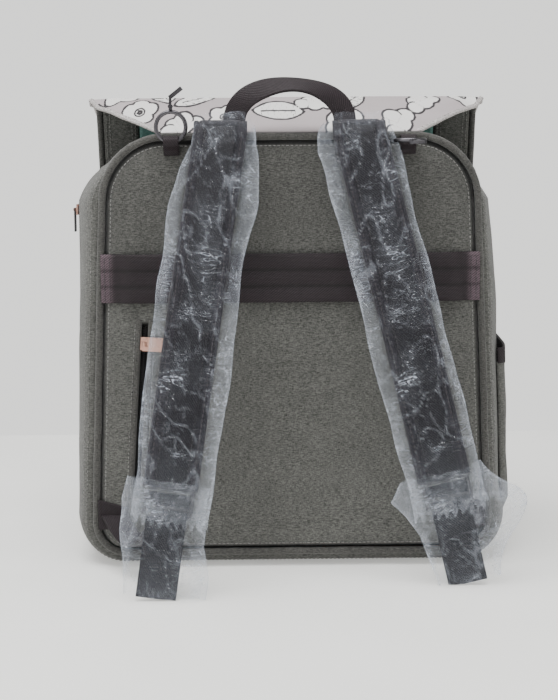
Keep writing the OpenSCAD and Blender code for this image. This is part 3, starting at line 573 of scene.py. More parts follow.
def rim_share(s):
    z = seam_point(s, 0)[1]
    return 1 if z <= RIM_H else max(0.04, (BACK_H - z) / (BACK_H - RIM_H))


def gusset_point(s, t, lift=0.0):
    v = t * rim_share(s)
    x, z = seam_point(s, v)
    nx, nz = seam_normal(s)
    out = swell(s) * fullness(s, v) + lift
    return x + nx * out, mix(G_BACK, G_FRONT, v), z + nz * out


def side_s_at(z):
    return 1 + (z - LOW_Z) / (HIGH_Z - LOW_Z)


def front_half(z):
    up = z - LIFT
    cut = BASE_R - math.sqrt(max(0, BASE_R ** 2 - (BASE_R - up) ** 2)) if up < BASE_R else 0
    return half_width(max(z, LOW_Z), 1) - cut


def front_face(u, z):
    return (FRONT_Y - max(0, z - RIM_H) * math.tan(math.radians(LEAN))
            + FRONT_BULGE * (1 - u * u) * math.sin(math.pi * (z - LIFT) / (FRONT_H - LIFT)))


def s_of_z(z):
    if z < LOW_Z:
        return 1 + math.degrees(math.asin(max(-1, (z - LOW_Z) / BASE_R))) / 90
    if z <= HIGH_Z:
        return side_s_at(z)
    return 2 + math.degrees(math.asin(min(1, (z - HIGH_Z) / SHOULDER_R))) / 90


def back_half_at(z, inset=INSET):
    s = s_of_z(z)
    return seam_point(s, 0)[0] - seam_normal(s)[0] * inset


# ---------------------------------------------------------------- cloth simulation
def puff(pieces, cap, frames=20, pressure=4.0):
    """Inflates closed meshes as cloth and writes the result back; cap is in millimetres for each piece."""
    scene = bpy.context.scene
    rest = {}
    for ob in pieces:
        c = ob.modifiers.new("Cloth", "CLOTH")
        c.settings.use_pressure = True
        c.settings.uniform_pressure_force = pressure
        c.settings.effector_weights.gravity = 0
        c.settings.vertex_group_mass = "pin"
        c.settings.quality = 5
        co = np.zeros(len(ob.data.vertices) * 3)
        ob.data.vertices.foreach_get("co", co)
        rest[ob.name] = co.reshape(-1, 3)
    for f in range(1, frames + 1):
        scene.frame_set(f)
    deps = bpy.context.evaluated_depsgraph_get()
    moved = {}
    for ob in pieces:
        e = ob.evaluated_get(deps)
        co = np.zeros(len(e.data.vertices) * 3)
        e.data.vertices.foreach_get("co", co)
        d = co.reshape(-1, 3) - rest[ob.name]
        far = np.linalg.norm(d, axis=1)
        limit = cap[ob.name] * MM
        d *= (limit * np.tanh(far / limit) / np.maximum(far, 1e-9))[:, None]
        moved[ob.name] = d
    for ob in pieces:
        ob.modifiers.remove(ob.modifiers["Cloth"])
        ob.data.vertices.foreach_set("co", (rest[ob.name] + moved[ob.name]).ravel())
        ob.data.update()
    scene.frame_set(1)
    return moved


def pin(ob, weights):
    g = ob.vertex_groups.new(name="pin")
    for i, w in enumerate(weights):
        if w > 0:
            g.add([i], float(w), "REPLACE")


# ---------------------------------------------------------------- shoulder straps: their line
def strap_at(side, u):
    root = np.array([53.0, BACK_Y - 12, BACK_H + 2])
    end = np.array([103.0, BACK_Y - 90, 2]) if side < 0 else np.array([133.0, BACK_Y - 58, 2])
    p = mix(root, end, u) + np.array([0, -16 * math.sin(math.pi * u), 0])
    if u < 0:  # over the seam and into it
        d = -u * 345
        p = root + np.array([0, min(11, d * 0.9), 9 * math.sin(min(1, d / 13) * math.pi * 0.62)])
    return p


def strap_frame(side, u):
    d = strap_at(side, u + 0.01) - strap_at(side, u - 0.01)
    a = np.cross([0, -1, 0], d)
    a /= np.linalg.norm(a)
    if a[0] < 0:
        a = -a
    o = np.cross(d, a)
    o /= np.linalg.norm(o)
    if o[1] > 0:
        o = -o
    f = np.array([-1.0 if side < 0 else 1.0, 1, 1])
    return strap_at(side, u) * f, np.array([a[0], a[1] * f[0], a[2] * f[0]]), o * f


PAD_W, PAD_T, PAD_END = 41, 9, 0.76


def pad_grid(side, rows, ring):
    """A pad as closed rings: a flat oval section, thinner at the sewn edges."""
    us = np.linspace(-0.035, PAD_END, rows)
    k = np.linspace(0, 2 * np.pi, ring, endpoint=False)
    cx = np.sign(np.cos(k)) * np.abs(np.cos(k)) ** 0.45 * PAD_W / 2
    cy = np.sign(np.sin(k)) * np.abs(np.sin(k)) ** 0.6 * (PAD_T / 2 - 1.0)
    out = np.zeros((rows, ring, 3))
    for i, u in enumerate(us):
        p, a, o = strap_frame(side, u)
        thick = 0.45 if u < -0.02 else mix(0.45, 1, min(1, (u + 0.02) / 0.05))
        thick *= mix(1, 0.6, max(0, (u - PAD_END + 0.03) / 0.03))
        out[i] = p + a * cx[:, None] + o * (cy * thick)[:, None]
    return out, cx, cy, us


# ---------------------------------------------------------------- what is simulated, all at once
def ring_faces(rows, ring):
    faces = [list(f) for f in quads(rows, ring, wrap_c=True)]
    return faces + [list(range(ring))[::-1], [(rows - 1) * ring + k for k in range(ring)]]


back_s = joined((0, 1, 5), (1, 2, 30), (2, 3, 11))
SIM_ROWS, SIM_COLS = len(back_s), 40
PAD_ROWS, PAD_RING = 110, 36


def back_grid(s_list, u_list, inset, y):
    out = np.zeros((len(s_list), len(u_list), 3))
    for i, s in enumerate(s_list):
        (x, z), (nx, nz) = seam_point(s, 0), seam_normal(s)
        out[i] = [(u * (x - nx * inset), y, z - nz * inset) for u in u_list]
    return out


sim_u = np.linspace(-1, 1, SIM_COLS)
pad_sim = {}
front_skin = back_grid(back_s, sim_u, INSET + 1, BACK_Y + 1)
pillow = shell("sim_back", front_skin, front_skin + np.array([0, 7.0, 0]), CANVAS)
hold = np.zeros((SIM_ROWS, SIM_COLS))
hold[[0, -1]] = 1
hold[:, [0, -1]] = 1
pin(pillow, np.concatenate([hold.ravel(), np.ones(hold.size)]))
sims, caps = [pillow], {"sim_back": 4.0}
for side in (-1, 1):
    grid, cx, cy, _ = pad_grid(side, PAD_ROWS, PAD_RING)
    ob = make(f"sim_pad{side}", grid.reshape(-1, 3), ring_faces(PAD_ROWS, PAD_RING), STRAP)
    seam = (np.abs(np.abs(cx) - (PAD_W / 2 - 4.2)) < 0.9) & (np.abs(cy) > 1)
    w = np.zeros((PAD_ROWS, PAD_RING))
    w[:, seam] = 1
    w[:4] = 1
    w[-2:] = 1
    pin(ob, w.ravel())
    sims.append(ob)
    caps[ob.name] = 2.2
moved = puff(sims, caps)
crown = -moved["sim_back"][:SIM_ROWS * SIM_COLS, 1].reshape(SIM_ROWS, SIM_COLS) / MM
for side in (-1, 1):
    pad_sim[side] = moved[f"sim_pad{side}"].reshape(PAD_ROWS, PAD_RING, 3) / MM
for ob in sims:
    bpy.data.objects.remove(ob)


def crown_at(s, u):
    """The simulated swell of the back panel at a place on it."""
    i = np.interp(s, back_s, np.arange(SIM_ROWS))
    j = np.interp(u, sim_u, np.arange(SIM_COLS))
    i0, j0 = min(int(i), SIM_ROWS - 2), min(int(j), SIM_COLS - 2)
    fi, fj = i - i0, j - j0
    low, high = (mix(crown[k, j0], crown[k, j0 + 1], fj) for k in (i0, i0 + 1))
    return mix(low, high, fi)


def back_y_at(x, z):
    s = s_of_z(z)
    return BACK_Y - crown_at(s, x / max(1, back_half_at(z)))


def on_back(x, z, lift=0.0):
    return np.array([x, back_y_at(x, z) - lift, z])


# ---------------------------------------------------------------- back panel
ZIP_MID = np.array([-half_width(128, 0) + 34, 0, 128.0])
ZIP_LEN, ZIP_SLANT = 138, math.radians(4)
ZIP_UP = np.array([math.sin(ZIP_SLANT), 0, math.cos(ZIP_SLANT)])
ZIP_ACROSS = np.array([math.cos(ZIP_SLANT), 0, -math.sin(ZIP_SLANT)])

s_fine = joined((0, 1, 18), (1, 2, 116), (2, 3, 34))
u_fine = np.linspace(-1, 1, 136)
P = back_grid(s_fine, u_fine, INSET - 0.6, BACK_Y)
P[:, :, 1] -= np.array([[crown_at(s, u) for u in u_fine] for s in s_fine])
edge = np.abs(P[:, -1:, 0]) - np.abs(P[:, :, 0])
edge = np.minimum(edge, np.minimum(P[:, :, 2] - LIFT - INSET, BACK_H - INSET - P[:, :, 2]))
past, above = np.abs(P[:, :, 0]) - (SHOULDER_W / 2 - SHOULDER_R), P[:, :, 2] - HIGH_Z
corner = np.hypot(np.maximum(0, past), np.maximum(0, above))
edge = np.where((above > 0) & (past > 0), SHOULDER_R - INSET - corner, edge)
edge = np.maximum(edge, 0)
P[:, :, 1] += 4.5 * np.exp(-(edge / 2.6) ** 2) + 1.2 * np.exp(-edge / 5)
# painted shade: a dark band along the turned-in edge beside the piping, where the seam's hollow falls in shadow
painted_shade = np.exp(-(edge / (2.6 + 1.6 * smooth(P[:, :, 2], 200, 320))) ** 4)
pucker = noise_at(P, (7, 30, 7), 3) * np.exp(-edge / 9) * 0.55
soft = noise_at(P, (70, 40, 110), 1) * 0.9 + noise_at(P, (26, 30, 38), 2) * 0.3
P[:, :, 1] -= pucker + soft * smooth(edge, 2, 30)
rel = P - ZIP_MID
za, zb = rel @ ZIP_ACROSS, rel @ ZIP_UP
P[:, :, 1] += 3.2 * smooth(-np.abs(za), -4.6, -3.2) * smooth(-np.abs(zb), -ZIP_LEN / 2 - 1, -ZIP_LEN / 2 + 1)
# painted shade in the recessed zip slot
slot_shade = smooth(-np.abs(za), -4.4, -3.0) * smooth(-np.abs(zb), -ZIP_LEN / 2 - 1, -ZIP_LEN / 2 + 1)
# the shade attribute also paints shade over the upper back panel, darker towards the top
body_back = shell("body_back", P, P * [0.985, 0, 0.985] + [0, BACK_Y + PANEL_T + FOAM_T, 2.6], CANVAS,
                  {"painted_shade": np.maximum.reduce([painted_shade, slot_shade, 0.3 * smooth(P[:, :, 2], 170, 320)])})
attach(body_back, "bag")
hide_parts("back_panel", "back_foam")

# ---------------------------------------------------------------- sides and base, one lofted shell
left_s = joined((3, 2, 30), (2, 1, 92), (1, 0, 18))
t_fine = 0.5 - 0.5 * np.cos(np.linspace(0.04, 1, 58) * np.pi)
t_fine = np.concatenate([[0], mix(t_fine, np.linspace(0, 1, 58), 0.5)[1:-1], [1]])


def right_lift(s, t):
    """The right side swells less near its top, and is drawn in under its pocket."""
    top = float(smooth(np.array(s), 1.4, 2.15)) * 9.5 * (1 - float(smooth(np.array(s), 2.2, 2.5)))
    low = 4.0 * float(smooth(np.array(s), 1.0, 1.1)) * (1 - float(smooth(np.array(s), 1.5, 1.75)))
    return -(top + low) * fullness(min(s, 2), t)


rows = [[np.array(gusset_point(s, t)) * [-1, 1, 1] for t in t_fine] for s in left_s]
base_end = seam_point(0, 0.5)[0] - 0.5
rows += [[(x * base_end, *gusset_point(0, t)[1:]) for t in t_fine] for x in np.linspace(-1, 1, 100)[1:-1]]
rows += [[gusset_point(s, t, right_lift(s, t)) for t in t_fine] for s in left_s[::-1]]
P = np.array(rows)
away = P - np.array([0, 0, 150.0])
N = normals_of(P, away)
tt = np.tile(t_fine, (len(P), 1))
fade = smooth(np.minimum(tt, 1 - tt), 0.0, 0.25)
floor_fade = smooth(P[:, :, 2], 1, 14)
drape = noise_at(P, (60, 34, 120), 4) * 1.7 + noise_at(P, (24, 16, 40), 5) * 0.6
pucker = noise_at(P, (7, 30, 7), 6) * (1 - smooth(np.minimum(tt, 1 - tt), 0.0, 0.09)) * 0.6
P = P + N * ((drape * fade + pucker) * floor_fade - 0.4 * (1 - floor_fade))[:, :, None]
P[:, :, 2] = np.maximum(P[:, :, 2], 0.15)
sides = cloth("body_sides", P, GUSSET_T, CANVAS, away)
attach(sides, "bag")
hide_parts("gusset_left", "gusset_right", "base_panel")
SIDES_GRID, SIDES_N = P, normals_of(P, away)

# ---------------------------------------------------------------- front panel
z_rows = np.concatenate([LIFT + INSET + (LOW_Z - LIFT - INSET) * (1 - np.cos(np.linspace(0, np.pi / 2, 12))),
                         np.linspace(LOW_Z, FRONT_H, 120)[1:]])
u_cols = np.linspace(-1, 1, 120)
P = np.array([[(u * (front_half(z) - INSET + 0.6), front_face(u, z), z) for u in u_cols] for z in z_rows])
uu = np.tile(np.abs(u_cols), (len(z_rows), 1))
P[:, :, 1] += (noise_at(P, (60, 40, 90), 8) * 1.2 + noise_at(P, (22, 30, 30), 9) * 0.35) * smooth(1 - uu, 0, 0.2)
P[:, :, 1] -= 1.6 * np.exp(-(1 - uu) * 150 / 3.5)
front = cloth("body_front", P, PANEL_T, CANVAS, np.array([0, 1.0, 0]))
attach(front, "bag")
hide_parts("front_panel")


def on_front(x, z, lift=0.0):
    return np.array([x, front_face(x / front_half(z), z) + lift, z])


# ---------------------------------------------------------------- piping
def back_outline(inset, count=70):
    s = joined((0, 1, count // 3), (1, 2, count), (2, 3, count // 2))
    right = np.array([np.subtract(seam_point(a, 0), np.multiply(seam_normal(a), inset)) for a in s])
    left = right[::-1] * [-1, 1]
    base = np.linspace(-right[0, 0], right[0, 0], 70)[1:-1]
    top = np.linspace(right[-1, 0], -right[-1, 0], 50)[1:-1]
    return np.concatenate([right, np.stack([top, np.full(48, right[-1, 1])], 1), left,
                           np.stack([base, np.full(68, right[0, 1])], 1)])


def even(path, step, closed):
    path = np.asarray(path, float)
    if closed:
        path = np.concatenate([path, path[:1]])
    s = np.concatenate([[0], np.cumsum(np.linalg.norm(np.diff(path, axis=0), axis=1))])
    at = np.linspace(0, s[-1], int(s[-1] / step) + 1)
    if closed:
        at = at[:-1]
    return np.stack([np.interp(at, s, path[:, i]) for i in range(path.shape[1])], 1)


outline = even(back_outline(0), 3.0, True)
path = np.stack([outline[:, 0], np.full(len(outline), BACK_Y + PIPING_D / 2 - 0.6), outline[:, 1]], 1)
path += np.stack([noise_at(path, 30, 10), noise_at(path, 30, 11), noise_at(path, 30, 12)], 1) * 0.35
r = PIPING_D / 2 * (1.02 + 0.05 * noise_at(path, 14, 13))
piping = tube("piping_back", path, r, CANVAS_DARK, closed=True, sides=16)
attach(piping, "bag")
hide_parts("back_piping")

zz = np.concatenate([LIFT + (LOW_Z - LIFT) * (1 - np.cos(np.linspace(0, np.pi / 2, 14))),
                     np.linspace(LOW_Z, FRONT_H - 1, 110)[1:]])
right = np.array([(front_half(z), front_face(1, z) - PIPING_D / 2 + 0.3, z) for z in zz])
path = even(np.concatenate([right[::-1] * [-1, 1, 1], right]), 3.0, False)
piping = tube("piping_front", path, PIPING_D / 2 * (1.02 + 0.05 * noise_at(path, 14, 14)), CANVAS_DARK, sides=16)
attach(piping, "bag")
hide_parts("front_piping")

# ---------------------------------------------------------------- facings and linings
def facing_at(side, z, inset, under):
    """A point on a facing strip, inset from the front seam and under millimetres behind its outer face."""
    x = front_half(z) - INSET - inset
    return side * x, front_face(x / front_half(z), z) - PANEL_T - GAP - under, z


for side, label in ((-1, "left"), (1, "right")):
    zf = np.linspace(RIM_H + 2, FRONT_H - 0.5, 34)
    P = np.array([[facing_at(side, z, u * 30, 1.0) for u in np.linspace(0, 1, 18)] for z in zf])
    across = np.tile(np.linspace(0, 1, 18), (34, 1))
    P[:, :, 1] += -0.5 * np.sin(across * np.pi) - noise_at(P, (14, 20, 18), 15) * 0.35
    ob = cloth(f"facing_strip_{label}", P, 1.2, CANVAS, np.array([0, -1.0, 0]))
    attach(ob, "bag")
    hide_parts(f"facing_{label}")

back_in = PANEL_T + FOAM_T + GAP
P = back_grid(joined((0, 1, 8), (1, 2, 40), (2, 3, 12)), np.linspace(-1, 1, 50),
              GUSSET_T + PIPING_D + 2, BACK_Y + back_in + LINING_T)
P[:, :, 1] += noise_at(P, (40, 30, 60), 16) * 0.35 + 0.15
ob = cloth("lining_back_cloth", P, 0.6, TEAL, np.array([0, 1.0, 0]))
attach(ob, "bag")
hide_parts("lining_back")

inset = GUSSET_T + PIPING_D + 2
zf = joined((LIFT + inset + 3, LOW_Z, 5), (LOW_Z, FRONT_H - 2, 90))
P = np.array([[(u * (front_half(z) - 30 - INSET - 1), front_face(u * 0.8, z) - PANEL_T - 1.4, z)
               for u in np.linspace(-1, 1, 90)] for z in zf])
fold_in = noise_at(P, (16, 20, 70), 17) * 1.0
P[:, :, 1] -= np.maximum(fold_in, -0.3) * smooth(P[:, :, 2], 30, 60)
ob = cloth("lining_front_cloth", P, 0.6, TEAL, np.array([0, -1.0, 0]))
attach(ob, "bag")
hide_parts("lining_front")

lift = -GUSSET_T - 2.5 - 2 * GAP - 0.2
ls = joined((2.55, 2, 16), (2, 1, 50), (1, 0.06, 12))
ts = np.linspace(0.08, 0.92, 36)
half = [[gusset_point(s, t, lift) for t in ts] for s in ls]
other = [[gusset_point(s, t, lift + right_lift(s, t)) for t in ts] for s in ls[::-1]]
P = np.array([[(-q[0], q[1], q[2]) for q in row] for row in half] + other)
N = normals_of(P, -(P - np.array([0, 0, 150.0])))
P = P + N * (noise_at(P, (40, 26, 60), 18) * 0.8 + 0.5)[:, :, None]
ob = cloth("lining_sides_cloth", P, 0.6, TEAL, -(P - np.array([0, 0, 150.0])))
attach(ob, "bag")
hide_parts("lining_gusset")



def pouch(full, u, z, low, climb):
    """How far a pocket stands off: full in its middle, nothing at its sewn sides and bottom."""
    return full * min(1, (1 - abs(u) ** 6) * 3) * min(1, (z - low) / climb)


slip_half, slip_low = SHOULDER_W / 2 - 38, 40
y0 = BACK_Y + back_in + LINING_T + GAP
zs, us = np.linspace(slip_low, 215, 60), np.linspace(-1, 1, 70)
P = np.array([[(u * slip_half, y0 + pouch(6, u, z, slip_low, 10) + 0.5, z) for u in us] for z in zs])
P[:, :, 1] += noise_at(P, (30, 20, 50), 19) * 0.7 * smooth(6 - (P[:, :, 1] - y0), 6, 0)
ob = cloth("slip_pocket_cloth", P, 0.7, TEAL, np.array([0, 1.0, 0]))
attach(ob, "bag")
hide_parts("slip_pocket")

# ---------------------------------------------------------------- luggage band: three ribs of silky webbing
BAND_Z, BAND_W = 213, 38
band_half = half_width(BAND_Z, 0) - INSET + 1.5
xs = np.linspace(-band_half, band_half, 200)
ws = np.linspace(0, 1, 33)


def band_stand(x):
    return 1.2 + 5.4 * smooth(band_half - abs(x), 9, 24)


def band_y(x, z):
    """The band's underside: clear of the back panel in its middle, sewn down at its ends."""
    return BACK_Y - max(band_stand(x), 0.9 + crown_at(s_of_z(z), x / back_half_at(z)))


rows = []
for w in ws:
    z = BAND_Z + BAND_W * w
    rib = 0.55 * (abs(math.sin(w * 3 * math.pi)) ** 0.35 - 1)
    rows.append([(x, band_y(x, z) - rib - 0.6, z) for x in xs])
P = np.array(rows)
P[:, :, 1] += noise_at(P, (50, 30, 20), 20) * 0.5
# painted shade in the two grooves between the band's three ribs
rib_shade = np.exp(-(np.minimum(abs(ws - 1 / 3), abs(ws - 2 / 3)) / 0.035) ** 2)[:, None] * np.ones(len(xs))
band_end = back_half_at(BAND_Z + BAND_W / 2)
# painted highlight: the band's ends are lightened as a sheen where it turns down over the seam
ends = np.ones((len(ws), 1)) * smooth(np.abs(xs), band_end - 9, band_end - 3)[None, :]
band = shell("luggage_band_webbing", P, P + [0, 1.3, 0], BROWN, {"painted_shade": rib_shade, "turned": ends})
uv = band.data.uv_layers[0].data
flat = np.zeros(len(uv) * 2, np.float32)
uv.foreach_get("uv", flat)
uv.foreach_set("uv", flat.reshape(-1, 2)[:, ::-1].ravel())
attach(band, "bag")
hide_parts("luggage_band")

# ---------------------------------------------------------------- grab handle: one twisted loop of webbing
HANDLE_SPAN, HANDLE_W, HANDLE_RISE = 102, 17, 36
leg_x = HANDLE_SPAN / 2 - HANDLE_W / 2
hn = 120
path, wide = [], []
for k in range(hn):
    f = k / (hn - 1)
    if f < 0.14 or f > 0.86:
        g = f / 0.14 if f < 0.5 else (1 - f) / 0.14
        sx = -1 if f < 0.5 else 1
        path.append((sx * (leg_x + 1.5 * (1 - g)), BACK_Y - 1.9 - 0.5 * g, mix(BACK_H - 20, PIVOT_Z, g)))
        wide.append((1, 0, 0))
    else:
        a = math.pi * (1 - (f - 0.14) / 0.72)
        cx, cz = leg_x * math.cos(a), (HANDLE_RISE - HANDLE_W / 2 + 2.2) * math.sin(a) ** 0.85
        top = math.sin(a) ** 2.2
        path.append((cx, BACK_Y - 2.4 - 3.5 * top, PIVOT_Z + cz))
        radial = np.array([math.cos(a), 0, math.sin(a)])
        tilt = 0.92 * top * (1 + 0.35 * math.cos(a))
        face_on = radial * math.cos(tilt) + np.array([0, 1, 0]) * math.sin(tilt)
        wide.append(tuple(face_on if a < math.pi / 2 else -face_on))
path, wide = np.array(path), np.array(wide, float)
for k in range(1, hn):
    if wide[k] @ wide[k - 1] < 0:
        wide[k] = -wide[k]
wide /= np.linalg.norm(wide, axis=1)[:, None]
ws = np.linspace(-0.5, 0.5, 13)
P = path[:, None] + wide[:, None] * (ws * HANDLE_W)[None, :, None]
t = np.gradient(path, axis=0)
nrm = np.cross(t, wide)
nrm /= np.linalg.norm(nrm, axis=1)[:, None]
if nrm[3, 1] > 0:
    nrm = -nrm
P = P - nrm[:, None] * ((1 - np.abs(ws * 2) ** 6)[None, :, None] * -0.2)
handle = shell("grab_handle_loop", P + nrm[:, None] * 1.0, P - nrm[:, None] * 0.9, BROWN)
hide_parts("grab_handle", "handle_root")
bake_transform(handle)

# ---------------------------------------------------------------- flap: one printed sheet over the top
ROOT_W, FLAP_W, DROP, FLAP_R = 202, 342, 190, 36
root_y, seat = BACK_Y + PIPING_D + 1.7, BACK_H + 1.6
fold_y = FRONT_Y - (FRONT_H - RIM_H) * math.tan(math.radians(LEAN)) + 1
fold_z, drop_low = FRONT_H + 3, FRONT_H + 3 - DROP


def flap_line(u):
    """The flap's profile at share u of its half width, from root to hem: rows of (half width, y, z)."""
    out = []
    for v in np.linspace(0, 0.975, 66):
        half = mix(ROOT_W, FLAP_W, v) / 2 + 4 * math.sin(math.pi * v)
        out.append((half - 0.4, mix(root_y, fold_y - 0.4, v), mix(seat, fold_z, v) + 2 * math.sin(math.pi * v)))
    y_top, z_top = out[-1][1], out[-1][2]
    y_drop = front_face(min(1, abs(u)), FRONT_H) + 2.4
    for a in np.linspace(0, 90, 9)[1:]:
        c, s = math.cos(math.radians(a)), math.sin(math.radians(a))
        out.append((FLAP_W / 2 - 0.6, mix(y_top, y_drop, s), mix(z_top - 4, z_top, c)))
    for z in np.linspace(z_top - 5, drop_low, 86):
        up = z - drop_low
        cut = FLAP_R - math.sqrt(max(0, FLAP_R ** 2 - (FLAP_R - up) ** 2)) if up < FLAP_R else 0
        zz = min(z, FRONT_H)
        off = 2.4 + 13 * max(0, min(1, (258 - z) / 50))
        cut += 14 * min(1, (fold_z - z) / 40)
        out.append((max(FLAP_W / 2 - 1.6 - cut, 60), front_face(min(1, abs(u)), zz) + off, z))
    return out


us = np.linspace(-1, 1, 160)
P = np.array([[(u * h, y, z) for h, y, z in flap_line(u)] for u in us]).transpose(1, 0, 2)
TOP_ROWS = 66
row = np.arange(len(P))
on_top = 1 - smooth(row, TOP_ROWS - 10, TOP_ROWS + 4)[:, None]
free = smooth(row, 2, 22)[:, None]
U = np.abs(us)[None, :]
P[:, :, 2] += on_top * free * (noise_at(P, (60, 50, 60), 21) * 1.6 + noise_at(P, (24, 30, 30), 22) * 0.4)
P[:, :, 2] -= on_top * smooth(row, 20, 62)[:, None] * 5.0 * smooth(U, 0.86, 1.0)
P[:, :, 1] += (1 - on_top) * (0.5 + np.maximum(0, noise_at(P, (70, 50, 90), 23) * 1.6))
lens = np.concatenate([[0], np.cumsum(np.linalg.norm(np.diff(P[:, 80], axis=0), axis=1))])
top_len = lens[TOP_ROWS]
b_eff = np.where(lens < top_len, lens * 0.3, lens - top_len * 0.7)
A2, B2 = P[:, :, 0], np.tile(b_eff[:, None], (1, len(us)))
motif, vein = np.full(A2.shape, 20.0), np.full(A2.shape, 20.0)


def place(kind, cx, cy, size, turn):
    """Writes one leaf, cloud or flower into the distances to its outline and to its inner line."""
    global motif, vein
    x, y = A2 - cx, B2 - cy
    near = np.hypot(x, y) < size * 1.3
    c, s = math.cos(turn), math.sin(turn)
    x, y = x * c + y * s, y * c - x * s
    if kind == "leaf":
        k = size * 1.1
        d = np.maximum(np.hypot(x - k * 0.62, y) - k, np.hypot(x + k * 0.62, y) - k)
        inner = np.where(np.abs(y) < size * 0.62, x + 0.06 * y, 20)
        side = np.abs(((y + 0.5 * np.abs(x)) / (size * 0.2)) % 1 - 0.5) * size * 0.2
        side = size * 0.1 - side
        veined = (np.abs(inner) > 1.2) & (np.abs(y) < size * 0.55)
        inner = np.where(veined, np.where(side < 0.9, side - 0.2, 20), inner)
    elif kind == "cloud":
        blobs = [(0, 0, 0.42), (-0.45, -0.06, 0.3), (0.46, -0.08, 0.3), (0.14, 0.24, 0.34), (-0.2, 0.2, 0.28)]
        ds = [np.hypot(x - a * size, y - b * size) - r * size for a, b, r in blobs]
        d = np.minimum.reduce(ds)
        inner = np.where((y > 0) & (x > -size * 0.1), ds[3] * 1.0, np.where(x < -size * 0.2, ds[1], 20))
    else:
        d = np.full(x.shape, 50.0)
        for k in range(5):
            a = 2 * math.pi * k / 5
            d = np.minimum(d, np.hypot(x - size * 0.36 * math.sin(a), y - size * 0.36 * math.cos(a)) - size * 0.3)
        inner = np.hypot(x, y) - size * 0.17
    take = near & (d < motif)
    motif = np.where(take, d, motif)
    vein = np.where(take, inner, vein)


spots = []
kinds = ["leaf", "cloud", "flower", "leaf", "flower"]
for _ in range(4000):
    cx, cy = RNG.uniform(-165, 165), RNG.uniform(4, b_eff[-1] - 4)
    kind = kinds[len(spots) % 5]
    size = {"leaf": 25, "cloud": 28, "flower": 24}[kind] * RNG.uniform(0.8, 1.15)
    if all(math.hypot(cx - a, cy - b) > (size + s2) * 0.64 for a, b, s2 in spots):
        spots.append((cx, cy, size))
        place(kind, cx, cy, size, RNG.uniform(-1.2, 1.2) if kind == "cloud" else RNG.uniform(0, 6.28))
N = normals_of(P, np.stack([P[:, :, 0] * 0, (1 - on_top) + 0 * A2, on_top + 0 * A2], 2))
flap = shell("flap_print", P + N * 2.2, P + N * 0.9, PRINT, {"motif": motif, "vein": vein})
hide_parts("flap_top_panel", "flap_front_panel")
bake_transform(flap)
under = shell("flap_lining", P + N * 0.8, P + N * 0.0, TEAL)
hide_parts("flap_top_lining", "flap_front_lining")
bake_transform(under)

# the bound edge: a folded tape round the flap's free sides
edge_path = np.concatenate([P[1:, 0], P[-1, 1:-1], P[::-1, -1][:-1]])
edge_n = np.concatenate([N[1:, 0], N[-1, 1:-1], N[::-1, -1][:-1]])
path = edge_path + edge_n * 1.1
t = np.gradient(path, axis=0)
t /= np.maximum(np.linalg.norm(t, axis=1)[:, None], 1e-9)
out = np.cross(t, edge_n)
out *= np.where((out * (path - [0, 0, 300])).sum(1) < 0, -1, 1)[:, None]
out[:, 1] *= 0.3
out /= np.linalg.norm(out, axis=1)[:, None]
lump = 1 + 0.12 * np.sin(np.arange(len(path)) * 2.1)
sec = [(-3.0, 1.25), (-2.6, 1.6), (-0.6, 1.75), (0.7, 1.1), (1.1, 0),
       (0.7, -1.1), (-0.6, -1.75), (-2.6, -1.6), (-3.0, -1.25)]
rings = np.array([[p + o * a * 0.9 + n * b * l * 0.9 for a, b in sec]
                  for p, o, n, l in zip(path, out, edge_n, lump)])
R, C = rings.shape[:2]
uv = arc_uv(rings).reshape(-1, 2)
binding = make("flap_edge_binding", rings.reshape(-1, 3), [list(f) for f in quads(R, C, wrap_c=True)] +
               [list(range(C))[::-1], [(R - 1) * C + k for k in range(C)]], BINDING, uv)
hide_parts("flap_binding")
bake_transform(binding)
flap_runs = stitches("flap_edge_stitches", [(path[1:-1] - out[1:-1] * 1.4, edge_n[1:-1])], BINDING,
                     pitch=4.2, length=3.0, r=0.5)
flap_runs.data.transform(Matrix.Translation((0, 0, 0.0015)))
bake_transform(flap_runs)

